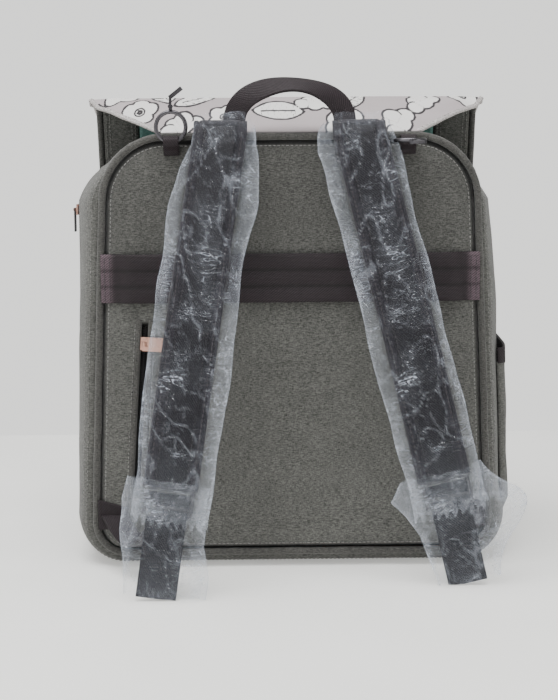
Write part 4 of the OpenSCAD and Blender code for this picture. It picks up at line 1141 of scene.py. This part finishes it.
# ---------------------------------------------------------------- shoulder straps
for side, label in ((-1, "left"), (1, "right")):
    rows_n, ring_n = 220, 2 * PAD_RING
    fine, cx, cy, us = pad_grid(side, rows_n, ring_n)
    if side in pad_sim:
        d = pad_sim[side]
        i = np.linspace(0, PAD_ROWS - 1, rows_n)
        j = np.arange(ring_n) / 2
        i0, j0 = np.minimum(i.astype(int), PAD_ROWS - 2), j.astype(int)
        fi, fj = (i - i0)[:, None, None], (j - j0)[None, :, None]
        j1 = (j0 + 1) % PAD_RING
        a = d[i0][:, j0] * (1 - fj) + d[i0][:, j1] * fj
        b = d[i0 + 1][:, j0] * (1 - fj) + d[i0 + 1][:, j1] * fj
        fine = fine + a * (1 - fi) + b * fi
    outs = np.array([strap_frame(side, u)[2] for u in us])
    face = np.sign(cy)[None, :, None] * outs[:, None]
    ch = np.exp(-((np.abs(cx) - (PAD_W / 2 - 4.2)) / 1.0) ** 2) * (np.abs(cy) > 1)
    fine = fine - face * (ch * 0.9)[None, :, None]
    swell_n = noise_at(fine, (16, 20, 34), 24 + side) * 0.35
    fine = fine + face * (swell_n * (np.abs(cy) > 1)[None, :])[:, :, None]
    arc = np.linspace(0, 2 * (PAD_W + PAD_T), ring_n, endpoint=False) * MM
    s = (us - us[0]) * 0.36
    uv = np.stack(np.meshgrid(arc, s), 2).reshape(-1, 2)
    pad = make(f"strap_pad_cloth_{label}", fine.reshape(-1, 3), ring_faces(rows_n, ring_n), STRAP, uv)
    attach(pad, f"strap_{label}")
    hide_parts(f"strap_pad_{label}")
    # webbing down the middle of the face
    uw = np.linspace(-0.012, PAD_END - 0.004, 150)
    ww = np.linspace(-0.5, 0.5, 15)
    P = []
    for u in uw:
        p, a, o = strap_frame(side, u)
        thick = mix(0.5, 1, min(1, max(0, (u + 0.02) / 0.05)))
        P.append([p + a * w * 25 + o * ((PAD_T / 2) * thick + 1.2 - 0.5 * abs(2 * w) ** 4) for w in ww])
    P = np.array(P)
    outs_w = np.array([strap_frame(side, u)[2] for u in uw])[:, None]
    P = P + outs_w * (noise_at(P, (18, 20, 26), 26) * 0.3)[:, :, None]
    web = shell(f"strap_face_webbing_{label}", P, P - outs_w * 1.0, STRAP_WEB)
    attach(web, f"strap_{label}")
    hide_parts(f"strap_webbing_{label}")
    runs = []
    for off, lift in ((PAD_W / 2 - 4.2, 0.1), (-(PAD_W / 2 - 4.2), 0.1), (11.2, 1.5), (-11.2, 1.5)):
        pts, ns = [], []
        for u in np.linspace(0.0, PAD_END - 0.01, 120):
            p, a, o = strap_frame(side, u)
            pts.append(p + a * off + o * (PAD_T / 2 - 0.9 + lift))
            ns.append(o)
        runs.append((pts, ns))
    st = stitches(f"strap_stitches_{label}", runs, THREAD_DARK, pitch=3.8)
    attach(st, f"strap_{label}")
    # ladder lock: a frame with three bars, the webbing passes round them
    low, high = PAD_END + 0.004, PAD_END + 0.058
    (pa, aa, oa), (pb, _, _) = strap_frame(side, low), strap_frame(side, high)
    down = (pb - pa) / np.linalg.norm(pb - pa)
    verts, faces = [], []

    def bar(c0, c1, w, h, n=10):
        ring = tube_parts(np.linspace(c0, c1, 6), 1.0, sides=n, ref=oa)
        mid = np.linspace(c0, c1, 6)[:, None]
        loc = ring - mid
        ax = np.cross((c1 - c0) / np.linalg.norm(c1 - c0), oa)
        loc = mid + ax * (loc @ ax)[:, :, None] * w + oa * (loc @ oa)[:, :, None] * h
        base = len(verts)
        verts.extend(loc.reshape(-1, 3))
        faces.extend([[base + x for x in f] for f in quads(6, n, wrap_c=True).tolist()])
        faces.extend([[base + k for k in range(n)][::-1], [base + 5 * n + k for k in range(n)]])

    for k, (w, h) in ((0.0, (1.6, 1.6)), (0.38, (1.5, 1.3)), (0.7, (1.5, 1.3)), (1.0, (1.8, 1.6))):
        c = pa + down * 19 * k
        bar(c - aa * 17.6, c + aa * 17.6, w, h)
    for w in (-17, 17):
        bar(pa + aa * w - down * 1.2, pa + aa * w + down * 20.2, 1.9, 2.0)
    lock = make(f"strap_ladder_lock_{label}", verts, faces, BUCKLE)
    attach(lock, f"strap_{label}")
    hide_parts(f"strap_lock_{label}")
    # tail of webbing below the lock
    ut = np.linspace(PAD_END + 0.012, 1.0, 70)
    P = []
    for u in ut:
        p, a, o = strap_frame(side, u)
        k = (u - ut[0]) / (1 - ut[0])
        weave_in = 1.6 * math.sin(min(1, k / 0.2) * math.pi * 2) if k < 0.2 else 0
        P.append([p + a * w * 30 + o * (weave_in + 1.2 * math.sin(k * 5)) for w in np.linspace(-0.5, 0.5, 11)])
    P = np.array(P)
    P[:, :, 2] = np.maximum(P[:, :, 2], 1.2)
    N = normals_of(P, np.array([0, -1.0, 0]))
    P = P + N * (noise_at(P, (20, 20, 24), 28) * 0.6)[:, :, None]
    tail = shell(f"strap_tail_webbing_{label}", P + N * 0.7, P - N * 0.7, STRAP_WEB)
    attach(tail, f"strap_{label}")
    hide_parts(f"strap_tail_{label}")
    # lower webbing from the corner tab to the lock
    f = np.array([side, 1, 1])
    a = np.array([half_width(44, 0) - INSET - 12, BACK_Y - WEB_T - GAP - 0.2, 44])
    b = np.abs(strap_at(side, PAD_END + 0.03)) * [1, -1, 1] + np.array([0, 8, -6])
    vv = np.linspace(0, 1, 60)
    line = np.array([mix(a, b, v) - np.array([0, 0, 26 * math.sin(math.pi * v)]) for v in vv])
    tangent = np.gradient(line, axis=0)
    up = np.cross([1, 0, 0], tangent)
    up /= np.linalg.norm(up, axis=1)[:, None]
    ws = np.linspace(-11, 11, 9)
    P = (line[:, None] + ws[None, :, None] * np.array([1, 0, 0]))
    low_web = shell(f"lower_strap_webbing_{label}", (P + up[:, None] * 1.5) * f, P * f, BROWN)
    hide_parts(f"lower_webbing_{label}")
    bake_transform(low_web)


# ---------------------------------------------------------------- packing film round the straps
def film(name, side, u0, u1, left, right, seed, thick=6.6, flare=None, zig=True, rows=190, cols=46, *, veil):
    """A loose flat tube of film round a strap; left and right give its reach at shares of its length."""
    us = np.linspace(u0, u1, rows)
    k = np.linspace(0, 1, rows)
    lw = np.interp(k, *zip(*left))
    rw = np.interp(k, *zip(*right))
    cs = np.linspace(-1, 1, cols)
    cs = np.sign(cs) * (1 - (1 - np.abs(cs)) ** 1.25)
    skins = []
    for sgn in (1, -1):
        G = np.zeros((rows, cols, 3))
        for i, u in enumerate(us):
            p, a, o = strap_frame(side, u)
            for j, c in enumerate(cs):
                x = c * (rw[i] if c > 0 else lw[i])
                side_reach = max(rw[i] if c > 0 else lw[i], 21.6)
                body = PAD_W / 2 + 0.6
                beyond = abs(x) - body + 2
                h = thick
                if beyond >= 0:
                    h = max(0.25, thick * (1 - (beyond / max(1.5, side_reach - body + 2)) ** 0.8))
                if c in (-1.0, 1.0):
                    h = 0.15
                drop = 0.0
                if zig and k[i] > 0.985:
                    drop = 2.4 * (1 if int((x + 60) / 3) % 2 else -1) * (k[i] - 0.985) / 0.015
                G[i, j] = p + a * x + o * sgn * h + np.array([0, 0, drop])
        skins.append(G)
    creases = []
    for idx, G in enumerate(skins):
        sgn = 1 if idx == 0 else -1
        outs = np.array([strap_frame(side, u)[2] for u in us])[:, None] * sgn
        q = G * np.array([1, 0.4, 0.6])
        q1 = q @ np.array([[0.86, 0, 0.5], [0, 1, 0], [-0.5, 0, 0.86]]).T
        q2 = q @ np.array([[0.8, 0, -0.6], [0, 1, 0], [0.6, 0, 0.8]]).T
        n1, n2, n3 = noise_at(q1, 20, seed), noise_at(q2, 10, seed + 1), noise_at(q1, 5.2, seed + 2)
        ridge = 2.4 * (0.5 - np.abs(n1)) + 1.3 * (0.5 - np.abs(n2)) + 0.6 * (0.5 - np.abs(n3))
        inside = 1 - smooth(np.abs(cs), 0.9, 1.0)[None, :]
        G += outs * (np.maximum(ridge, -0.4) * (0.35 + 0.65 * inside))[:, :, None]
        sway = np.stack([noise_at(q, 26, seed + 3), noise_at(q, 18, seed + 4) * 0.3, noise_at(q, 26, seed + 5)], 2)
        G += sway * (smooth(np.abs(cs), 0.55, 1.0)[None, :, None]) * 3.2
        # lines the film material whitens, partly whitening of the creased film and partly painted highlight
        sharp = np.exp(-(np.abs(n1) / 0.022) ** 2) + 0.6 * np.exp(-(np.abs(n2) / 0.03) ** 2)
        creases.append(np.clip(sharp, 0, 1) * (1 - inside * 0.5))
    for G in skins:
        if flare:
            flare(G, us)
        G[:, :, 2] = np.maximum(G[:, :, 2], 0.6)
    n = rows * cols
    faces = np.concatenate([quads(rows, cols), quads(rows, cols, n, flip=True)])
    r = np.arange(rows - 1)
    edge_l, edge_r = r * cols, (r + 1) * cols - 1
    faces = np.concatenate([faces, np.stack([edge_l, edge_l + cols, edge_l + cols + n, edge_l + n], 1),
                            np.stack([edge_r + cols, edge_r, edge_r + n, edge_r + cols + n], 1)])
    uv = arc_uv(skins[0]).reshape(-1, 2)
    frost = np.interp(k, *zip(*veil))[:, None] * np.ones(cols)
    cr = np.concatenate([c.ravel() for c in creases])
    reach = np.where(cs[None, :] > 0, rw[:, None], lw[:, None]) * np.abs(cs)[None, :]
    flank = smooth(reach, PAD_W / 2 - 0.5, PAD_W / 2 + 2.5)
    # painted highlight along the film's folded rims
    rim_glint = np.exp(-(1 - np.abs(cs)) / 0.04)[None, :] * np.ones((rows, 1)) * 0.5
    points = np.concatenate([s.reshape(-1, 3) for s in skins])
    ob = make(name, points, faces, FILM, np.concatenate([uv, uv + 0.37]),
              {"crease_glint": np.clip(cr + np.tile(rim_glint.ravel(), 2), 0, 1), "veil": np.tile(frost.ravel(), 2),
               "flank": np.tile(flank.ravel(), 2)})
    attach(ob, f"strap_{'left' if side < 0 else 'right'}")
    return ob


LONG_VEIL = ((0, 0.1), (0.05, 0), (0.8, 0), (0.94, 0.1), (1, 0.22))
ob = film("strap_film_left", -1, -0.03, 0.835,
          [(0, 22.5), (0.08, 22.5), (0.14, 28), (0.22, 31), (0.5, 30), (0.8, 29), (0.88, 26), (1, 27)],
          [(0, 27), (0.08, 33), (0.2, 34), (0.5, 33), (0.85, 31), (1, 30)], 31, veil=LONG_VEIL)
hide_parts("strap_sleeve_left")
ob = film("strap_film_right", 1, -0.03, 0.835, [(0, 26), (0.06, 34), (0.2, 33), (0.5, 31), (0.85, 30), (1, 29)],
          [(0, 24), (0.08, 26), (0.2, 27), (0.5, 27), (0.85, 28), (1, 30)], 41, veil=LONG_VEIL)
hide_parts("strap_sleeve_right")


def spread_left(G, us):
    """The loose end of the lower film fans out over the floor towards the middle."""
    k = smooth(us, 0.86, 0.99)[:, None] * smooth(G[:, :, 0] - G[:, 20:26, 0].mean(1)[:, None], 8, 30)
    G[:, :, 0] += k * 7


def spread_right(G, us):
    """A pocket of film stands away from the strap on its outer side."""
    k = np.exp(-((us - 0.85) / 0.06) ** 2)[:, None] * smooth(G[:, :, 0] - G[:, 20:26, 0].mean(1)[:, None], 8, 28)
    G[:, :, 0] += k * 22
    G[:, :, 1] += k * 10
    G[:, :, 2] += k * 6


film("strap_film_left_low", -1, 0.745, 0.995, [(0, 32), (0.2, 36), (0.45, 33), (0.7, 27), (1, 23)],
     [(0, 30), (0.5, 28), (0.8, 32), (1, 30)], 51, thick=5.4, rows=90, zig=False, flare=spread_left,
     veil=((0, 0.1), (0.3, 0.12), (0.5, 0.05), (1, 0.16)))
film("strap_film_right_low", 1, 0.745, 0.995, [(0, 33), (0.15, 44), (0.3, 36), (0.5, 28), (1, 24)],
     [(0, 29), (0.3, 34), (0.6, 36), (1, 27)], 61, thick=5.4, rows=90, zig=False, flare=spread_right,
     veil=((0, 0.1), (0.3, 0.14), (0.6, 0.06), (1, 0.14)))

# ---------------------------------------------------------------- back zip
tape_pts = np.array([[ZIP_MID + ZIP_ACROSS * w + ZIP_UP * b + [0, BACK_Y + 2.0, 0]
                      for w in np.linspace(-3.4, 3.4, 9)]
                     for b in np.linspace(-ZIP_LEN / 2, ZIP_LEN / 2, 90)])
ob = shell("back_zip_tape_cloth", tape_pts, tape_pts + [0, 0.6, 0], TAPE)
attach(ob, "bag")
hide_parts("back_zip_tape")


def coil(name, start, along, across, out, length, width, mat, pitch=1.35):
    """Two rows of coil loops that meet in the middle."""
    verts, faces = [], []
    for n in range(int(length / pitch)):
        for sgn in (-1, 1):
            c = start + along * (n + 0.25 * (1 + sgn)) * pitch
            arcs = np.linspace(0, np.pi, 6)
            path = np.array([c + across * sgn * (width / 2 - 0.1) * (0.5 + 0.5 * math.cos(a))
                             + out * 0.75 * math.sin(a) for a in arcs])
            ring = tube_parts(path, 0.36, sides=5, ref=along)
            base = len(verts)
            verts.extend(ring.reshape(-1, 3))
            faces.extend([[base + x for x in f] for f in quads(6, 5, wrap_c=True).tolist()])
            faces.extend([[base + k for k in range(5)][::-1], [base + 25 + k for k in range(5)]])
    return make(name, verts, faces, mat)


ob = coil("back_zip_coil", ZIP_MID - ZIP_UP * (ZIP_LEN / 2 - 1) + [0, BACK_Y + 1.5, 0], ZIP_UP, ZIP_ACROSS,
          np.array([0, -1.0, 0]), ZIP_LEN - 2, 3, BUCKLE)
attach(ob, "bag")
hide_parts("back_zip_teeth")

# folded lips either side of the slot
for sgn, label in ((-1, "outer"), (1, "inner")):
    bs = np.linspace(-ZIP_LEN / 2 - 3, ZIP_LEN / 2 + 3, 100)
    sec = np.linspace(0, 1, 11)
    P = []
    for b in bs:
        c = ZIP_MID + ZIP_UP * b
        row = []
        for w in sec:
            off = sgn * mix(2.5, 6.8, w)
            y = back_y_at((c + ZIP_ACROSS * off)[0], c[2])
            high = 1.0 * math.sin(min(1, w * 2.2) * math.pi / 2) * (1 - smooth(w, 0.75, 1.0) * 0.55)
            q = c + ZIP_ACROSS * off
            row.append((q[0], y - high + (2.0 * (1 - w * 6) if w < 1 / 6 else 0), q[2]))
        P.append(row)
    P = np.array(P)
    P[:, :, 1] -= noise_at(P, (6, 6, 16), 70) * 0.15
    ob = shell(f"back_zip_lip_{label}", P, P + [0, 1.1, 0], CANVAS_DARK)
    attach(ob, "bag")

# ---------------------------------------------------------------- side zip on the left gusset
ZT, Z_HI = 0.72, RIM_H - 14
Z_LO = Z_HI - 200


def side_at(z, t, lift):
    q = gusset_point(side_s_at(z), t, lift)
    return np.array([-q[0], q[1], q[2]])


zs = np.linspace(Z_LO, Z_HI, 90)
P = np.array([[side_at(z, ZT + w, 1.3) for w in np.linspace(-0.05, 0.05, 9)] for z in zs])
ob = cloth("side_zip_tape_cloth", P, 0.8, TAPE, np.array([-1.0, 0, 0]))
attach(ob, "bag")
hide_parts("side_zip_tape")
a, b = side_at(Z_LO + 1, ZT, 1.4), side_at(Z_HI - 1, ZT, 1.4)
along = (b - a) / np.linalg.norm(b - a)
out = np.cross(along, [0, 1.0, 0])
out *= np.sign(-out[0])
ob = coil("side_zip_coil", a, along, np.array([0, 1.0, 0]), out, np.linalg.norm(b - a), 3, ROSE)
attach(ob, "bag")
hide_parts("side_zip_teeth")


# ---------------------------------------------------------------- pockets
def side_pocket_off(t, z):
    return GAP - 3.5 + pouch(5.0, (t - 0.5) / 0.4, z, LOW_Z, 12)


def pocket_grid(zs, lift):
    return np.array([[gusset_point(side_s_at(z), t, side_pocket_off(t, z) + lift)
                      for t in np.linspace(0.1, 0.9, 60)] for z in zs])


P = pocket_grid(np.linspace(LOW_Z, 160.5, 60), 1.9)
N = normals_of(P, np.array([1.0, 0, 0]))
bulge = noise_at(P, (30, 22, 40), 71) * 0.9
P = P + N * (np.maximum(bulge, -0.5) * smooth(P[:, :, 2], LOW_Z, LOW_Z + 20))[:, :, None]
ob = cloth("side_pocket_cloth", P, 1.7, CANVAS, np.array([1.0, 0, 0]))
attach(ob, "bag")
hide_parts("side_pocket")
P = pocket_grid(np.linspace(159.5, 172, 12), 2.4)
ob = cloth("side_pocket_hem_tape", P, 2.1, BROWN, np.array([1.0, 0, 0]))
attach(ob, "bag")
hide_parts("side_pocket_hem")


def front_pocket_grid(zs, lift, n=100):
    return np.array([[(u * (front_half(z) - 14), front_face(u, z) + GAP + pouch(7, u, z, LOW_Z, 12) + lift, z)
                      for u in np.linspace(-1, 1, n)] for z in zs])


P = front_pocket_grid(np.linspace(LOW_Z, 196.5, 70), 1.9)
P[:, :, 1] += np.maximum(-0.6, noise_at(P, (50, 30, 60), 72) * 1.1) * smooth(P[:, :, 2], LOW_Z, LOW_Z + 25)
ob = cloth("front_pocket_cloth", P, 1.7, CANVAS, np.array([0, 1.0, 0]))
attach(ob, "bag")
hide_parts("front_pocket")
P = front_pocket_grid(np.linspace(195.5, 208, 12), 2.5)
ob = cloth("front_pocket_hem_tape", P, 2.1, BROWN, np.array([0, 1.0, 0]))
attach(ob, "bag")
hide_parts("front_pocket_hem")

# ---------------------------------------------------------------- tabs
for side, label in ((-1, "left"), (1, "right")):
    ring_y, ring_z = BACK_Y - 5.0 - 0.6, BACK_H - 4
    loop = [(BACK_Y + 0.4, ring_z - 9), (BACK_Y - 0.6, ring_z - 7.5), (BACK_Y - 1.7, ring_z - 5.6)]
    for a in np.linspace(math.radians(-35), math.radians(250), 26):
        loop.append((ring_y + 4.1 * math.cos(a), ring_z + 4.1 * math.sin(a)))
    loop += [(BACK_Y - 3.4, ring_z - 6.6), (BACK_Y - 2.2, ring_z - 8.6), (BACK_Y - 0.8, ring_z - 10)]
    loop = even(np.array(loop), 1.0, False)
    P = np.array([[(side * 91 + x, y, z) for x in np.linspace(-6, 6, 9)] for y, z in loop])
    t2 = np.gradient(loop, axis=0)
    t2 /= np.linalg.norm(t2, axis=1)[:, None]
    nn = np.stack([np.zeros(len(loop)), t2[:, 1], -t2[:, 0]], 1)
    ob = shell(f"ring_tab_webbing_{label}", P + nn[:, None] * 0.55, P - nn[:, None] * 0.55, BROWN)
    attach(ob, "bag")
    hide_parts(f"ring_tab_{label}")
    x = half_width(44, 0) - INSET + 1
    us, vs = np.linspace(0, 1, 16), np.linspace(0, 1, 16)
    P = np.array([[on_back(side * (x - 24 * u), mix(32, mix(56, 50, u), v),
                           1.3 + 0.25 * math.sin(u * 3.1) * math.sin(v * 3.1)) for u in us] for v in vs])
    ob = shell(f"corner_tab_webbing_{label}", P, P + [0, 1.5, 0], BROWN)
    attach(ob, "bag")
    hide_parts(f"corner_tab_{label}")

# ---------------------------------------------------------------- stitching on the body
seam_dip = 2.2 * math.exp(-4.4 / 3.2)
runs = [([on_back(x, z, -seam_dip) for x, z in even(back_outline(7.2), 3, True)], (0, -1, 0))]
off = 7.6
for sgn in (-1, 1):
    line = [ZIP_MID + ZIP_UP * b + ZIP_ACROSS * sgn * off
            for b in np.linspace(-ZIP_LEN / 2 - 2, ZIP_LEN / 2 + 2, 60)]
    runs.append(([on_back(q[0], q[2], 0.1) for q in line], (0, -1, 0)))
for c in (1, 3):
    runs.append((SIDES_GRID[:, c] + SIDES_N[:, c] * 0.1, SIDES_N[:, c]))
    runs.append((SIDES_GRID[:, -1 - c] + SIDES_N[:, -1 - c] * 0.1, SIDES_N[:, -1 - c]))
zz = np.linspace(LOW_Z, FRONT_H - 3, 90)
for sgn in (-1, 1):
    runs.append(([on_front(sgn * (front_half(z) - 7.5), z, -0.5) for z in zz], (0, 1, 0)))
for z in (FRONT_H - 4, FRONT_H - 9):
    runs.append(([on_front(x, z, 0.2) for x in np.linspace(-150, 150, 80)], (0, 1, 0)))
for sgn in (-1, 1):
    for off in (2.5, 5.5, 24.5, 27.5):
        line = [facing_at(sgn, z, off, 1.5) for z in np.linspace(RIM_H + 4, FRONT_H - 3, 40)]
        runs.append((line, (0, -1, 0)))
body_stitches = stitches("body_stitches", runs, THREAD_GREY)
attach(body_stitches, "bag")

runs = []
for sgn in (-1, 1):
    for off in (3.0, 7.0):
        x = sgn * (band_half - off)
        zs = np.linspace(BAND_Z + 1.5, BAND_Z + BAND_W - 1.5, 24)
        runs.append(([(x, band_y(x, z) - 0.75, z) for z in zs], (0, -1, 0)))
    for zz in (BACK_H - 16, BACK_H - 7):
        runs.append(([(sgn * leg_x + x, BACK_Y - 3.5, zz) for x in np.linspace(-7, 7, 8)], (0, -1, 0)))
dark_stitches = stitches("webbing_stitches", runs, THREAD_DARK, pitch=2.6, length=1.9, r=0.34)
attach(dark_stitches, "bag")

# ---------------------------------------------------------------- what stays from the frame gets its finish
finish = {
    "ring_left": GUNMETAL, "ring_right": GUNMETAL, "ring_lever_left": GUNMETAL, "ring_lever_right": GUNMETAL,
    "back_zip_slider": ROSE, "back_zip_pull": ROSE, "side_zip_slider": ROSE, "side_zip_pull": BUCKLE,
    "snap_socket": GUNMETAL, "snap_stud": GUNMETAL, "base_board": BOARD,
}
for name, mat in finish.items():
    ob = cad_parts[name]
    ob.data.materials.clear()
    ob.data.materials.append(mat)
    ob.data.shade_smooth()
    b = ob.modifiers.new("edges", "EDGE_SPLIT")
    b.split_angle = math.radians(35)

# ---------------------------------------------------------------- stage, light and camera
def plane(name, corners, mat):
    me = bpy.data.meshes.new(name)
    me.from_pydata(corners, [], [(0, 1, 2, 3)])
    ob = bpy.data.objects.new(name, me)
    me.materials.append(mat)
    bpy.context.scene.collection.objects.link(ob)
    return ob


m, nt, bsdf = material("table_top", Roughness=0.55)
speck = noise_tex(nt, coords(nt, "Object"), 7.0, 4.0)
nt.links.new(ramp(nt, speck, [(0.3, lin(232, 232, 229)), (0.7, lin(238, 238, 235))]), bsdf.inputs["Base Color"])
bsdf.inputs["Emission Color"].default_value = (*lin(236, 236, 233), 1)
bsdf.inputs["Emission Strength"].default_value = 0.45
EDGE = 0.481
plane("stage_floor", [(-4, -4, 0), (4, -4, 0), (4, EDGE, 0), (-4, EDGE, 0)], m)

world = bpy.data.worlds.new("studio")
bpy.context.scene.world = world
world.use_nodes = True
wn = world.node_tree
bg = wn.nodes["Background"]
backdrop = (*lin(207, 207, 205), 1)
bg.inputs["Color"].default_value = backdrop
bg.inputs["Strength"].default_value = 0.85
seen = wn.nodes.new("ShaderNodeBackground")
seen.inputs["Color"].default_value = backdrop
seen.inputs["Strength"].default_value = 2.2
path_kind = wn.nodes.new("ShaderNodeLightPath")
both = wn.nodes.new("ShaderNodeMixShader")
wn.links.new(path_kind.outputs["Is Camera Ray"], both.inputs[0])
wn.links.new(bg.outputs[0], both.inputs[1])
wn.links.new(seen.outputs[0], both.inputs[2])
wn.links.new(both.outputs[0], wn.nodes["World Output"].inputs["Surface"])


def area(name, place, aim, size, power, colour=(1, 1, 1)):
    data = bpy.data.lights.new(name, "AREA")
    data.shape, data.size, data.size_y = "RECTANGLE", size[0], size[1]
    data.energy, data.color = power, colour
    ob = bpy.data.objects.new(name, data)
    ob.location = place
    ob.rotation_euler = (Vector(aim) - Vector(place)).to_track_quat("-Z", "Y").to_euler()
    bpy.context.scene.collection.objects.link(ob)


area("light_top", (-0.3, -0.5, 1.9), (0, 0, 0.15), (1.6, 1.2), 52)
area("light_left", (-1.5, -1.3, 0.9), (0, 0, 0.2), (0.9, 1.2), 9)
area("light_right", (1.6, -1.0, 1.0), (0, 0, 0.2), (0.8, 1.2), 7)

cam = bpy.data.cameras.new("camera")
camera = bpy.data.objects.new("camera", cam)
bpy.context.scene.collection.objects.link(camera)
bpy.context.scene.camera = camera
SENSOR, FOCAL_PX, PHOTO_PX = 36, 1439.2, 700  # millimetres, then the focal length and picture height in pixels
EYE = (-0.02033, -1.2032, 0.3245)
cam.sensor_fit, cam.sensor_width = "AUTO", SENSOR
cam.lens = FOCAL_PX / PHOTO_PX * SENSOR
pitch, yaw, roll = math.radians(7.61), math.radians(0.555), math.radians(-0.443)
fwd = Vector((math.sin(yaw) * math.cos(pitch), math.cos(yaw) * math.cos(pitch), -math.sin(pitch)))
right = Vector((math.cos(yaw), -math.sin(yaw), 0))
up = right.cross(fwd)
r2 = right * math.cos(roll) + up * math.sin(roll)
u2 = -right * math.sin(roll) + up * math.cos(roll)
camera.matrix_world = Matrix([(r2[k], u2[k], -fwd[k], EYE[k]) for k in range(3)] + [(0, 0, 0, 1)])

bpy.context.view_layer.update()
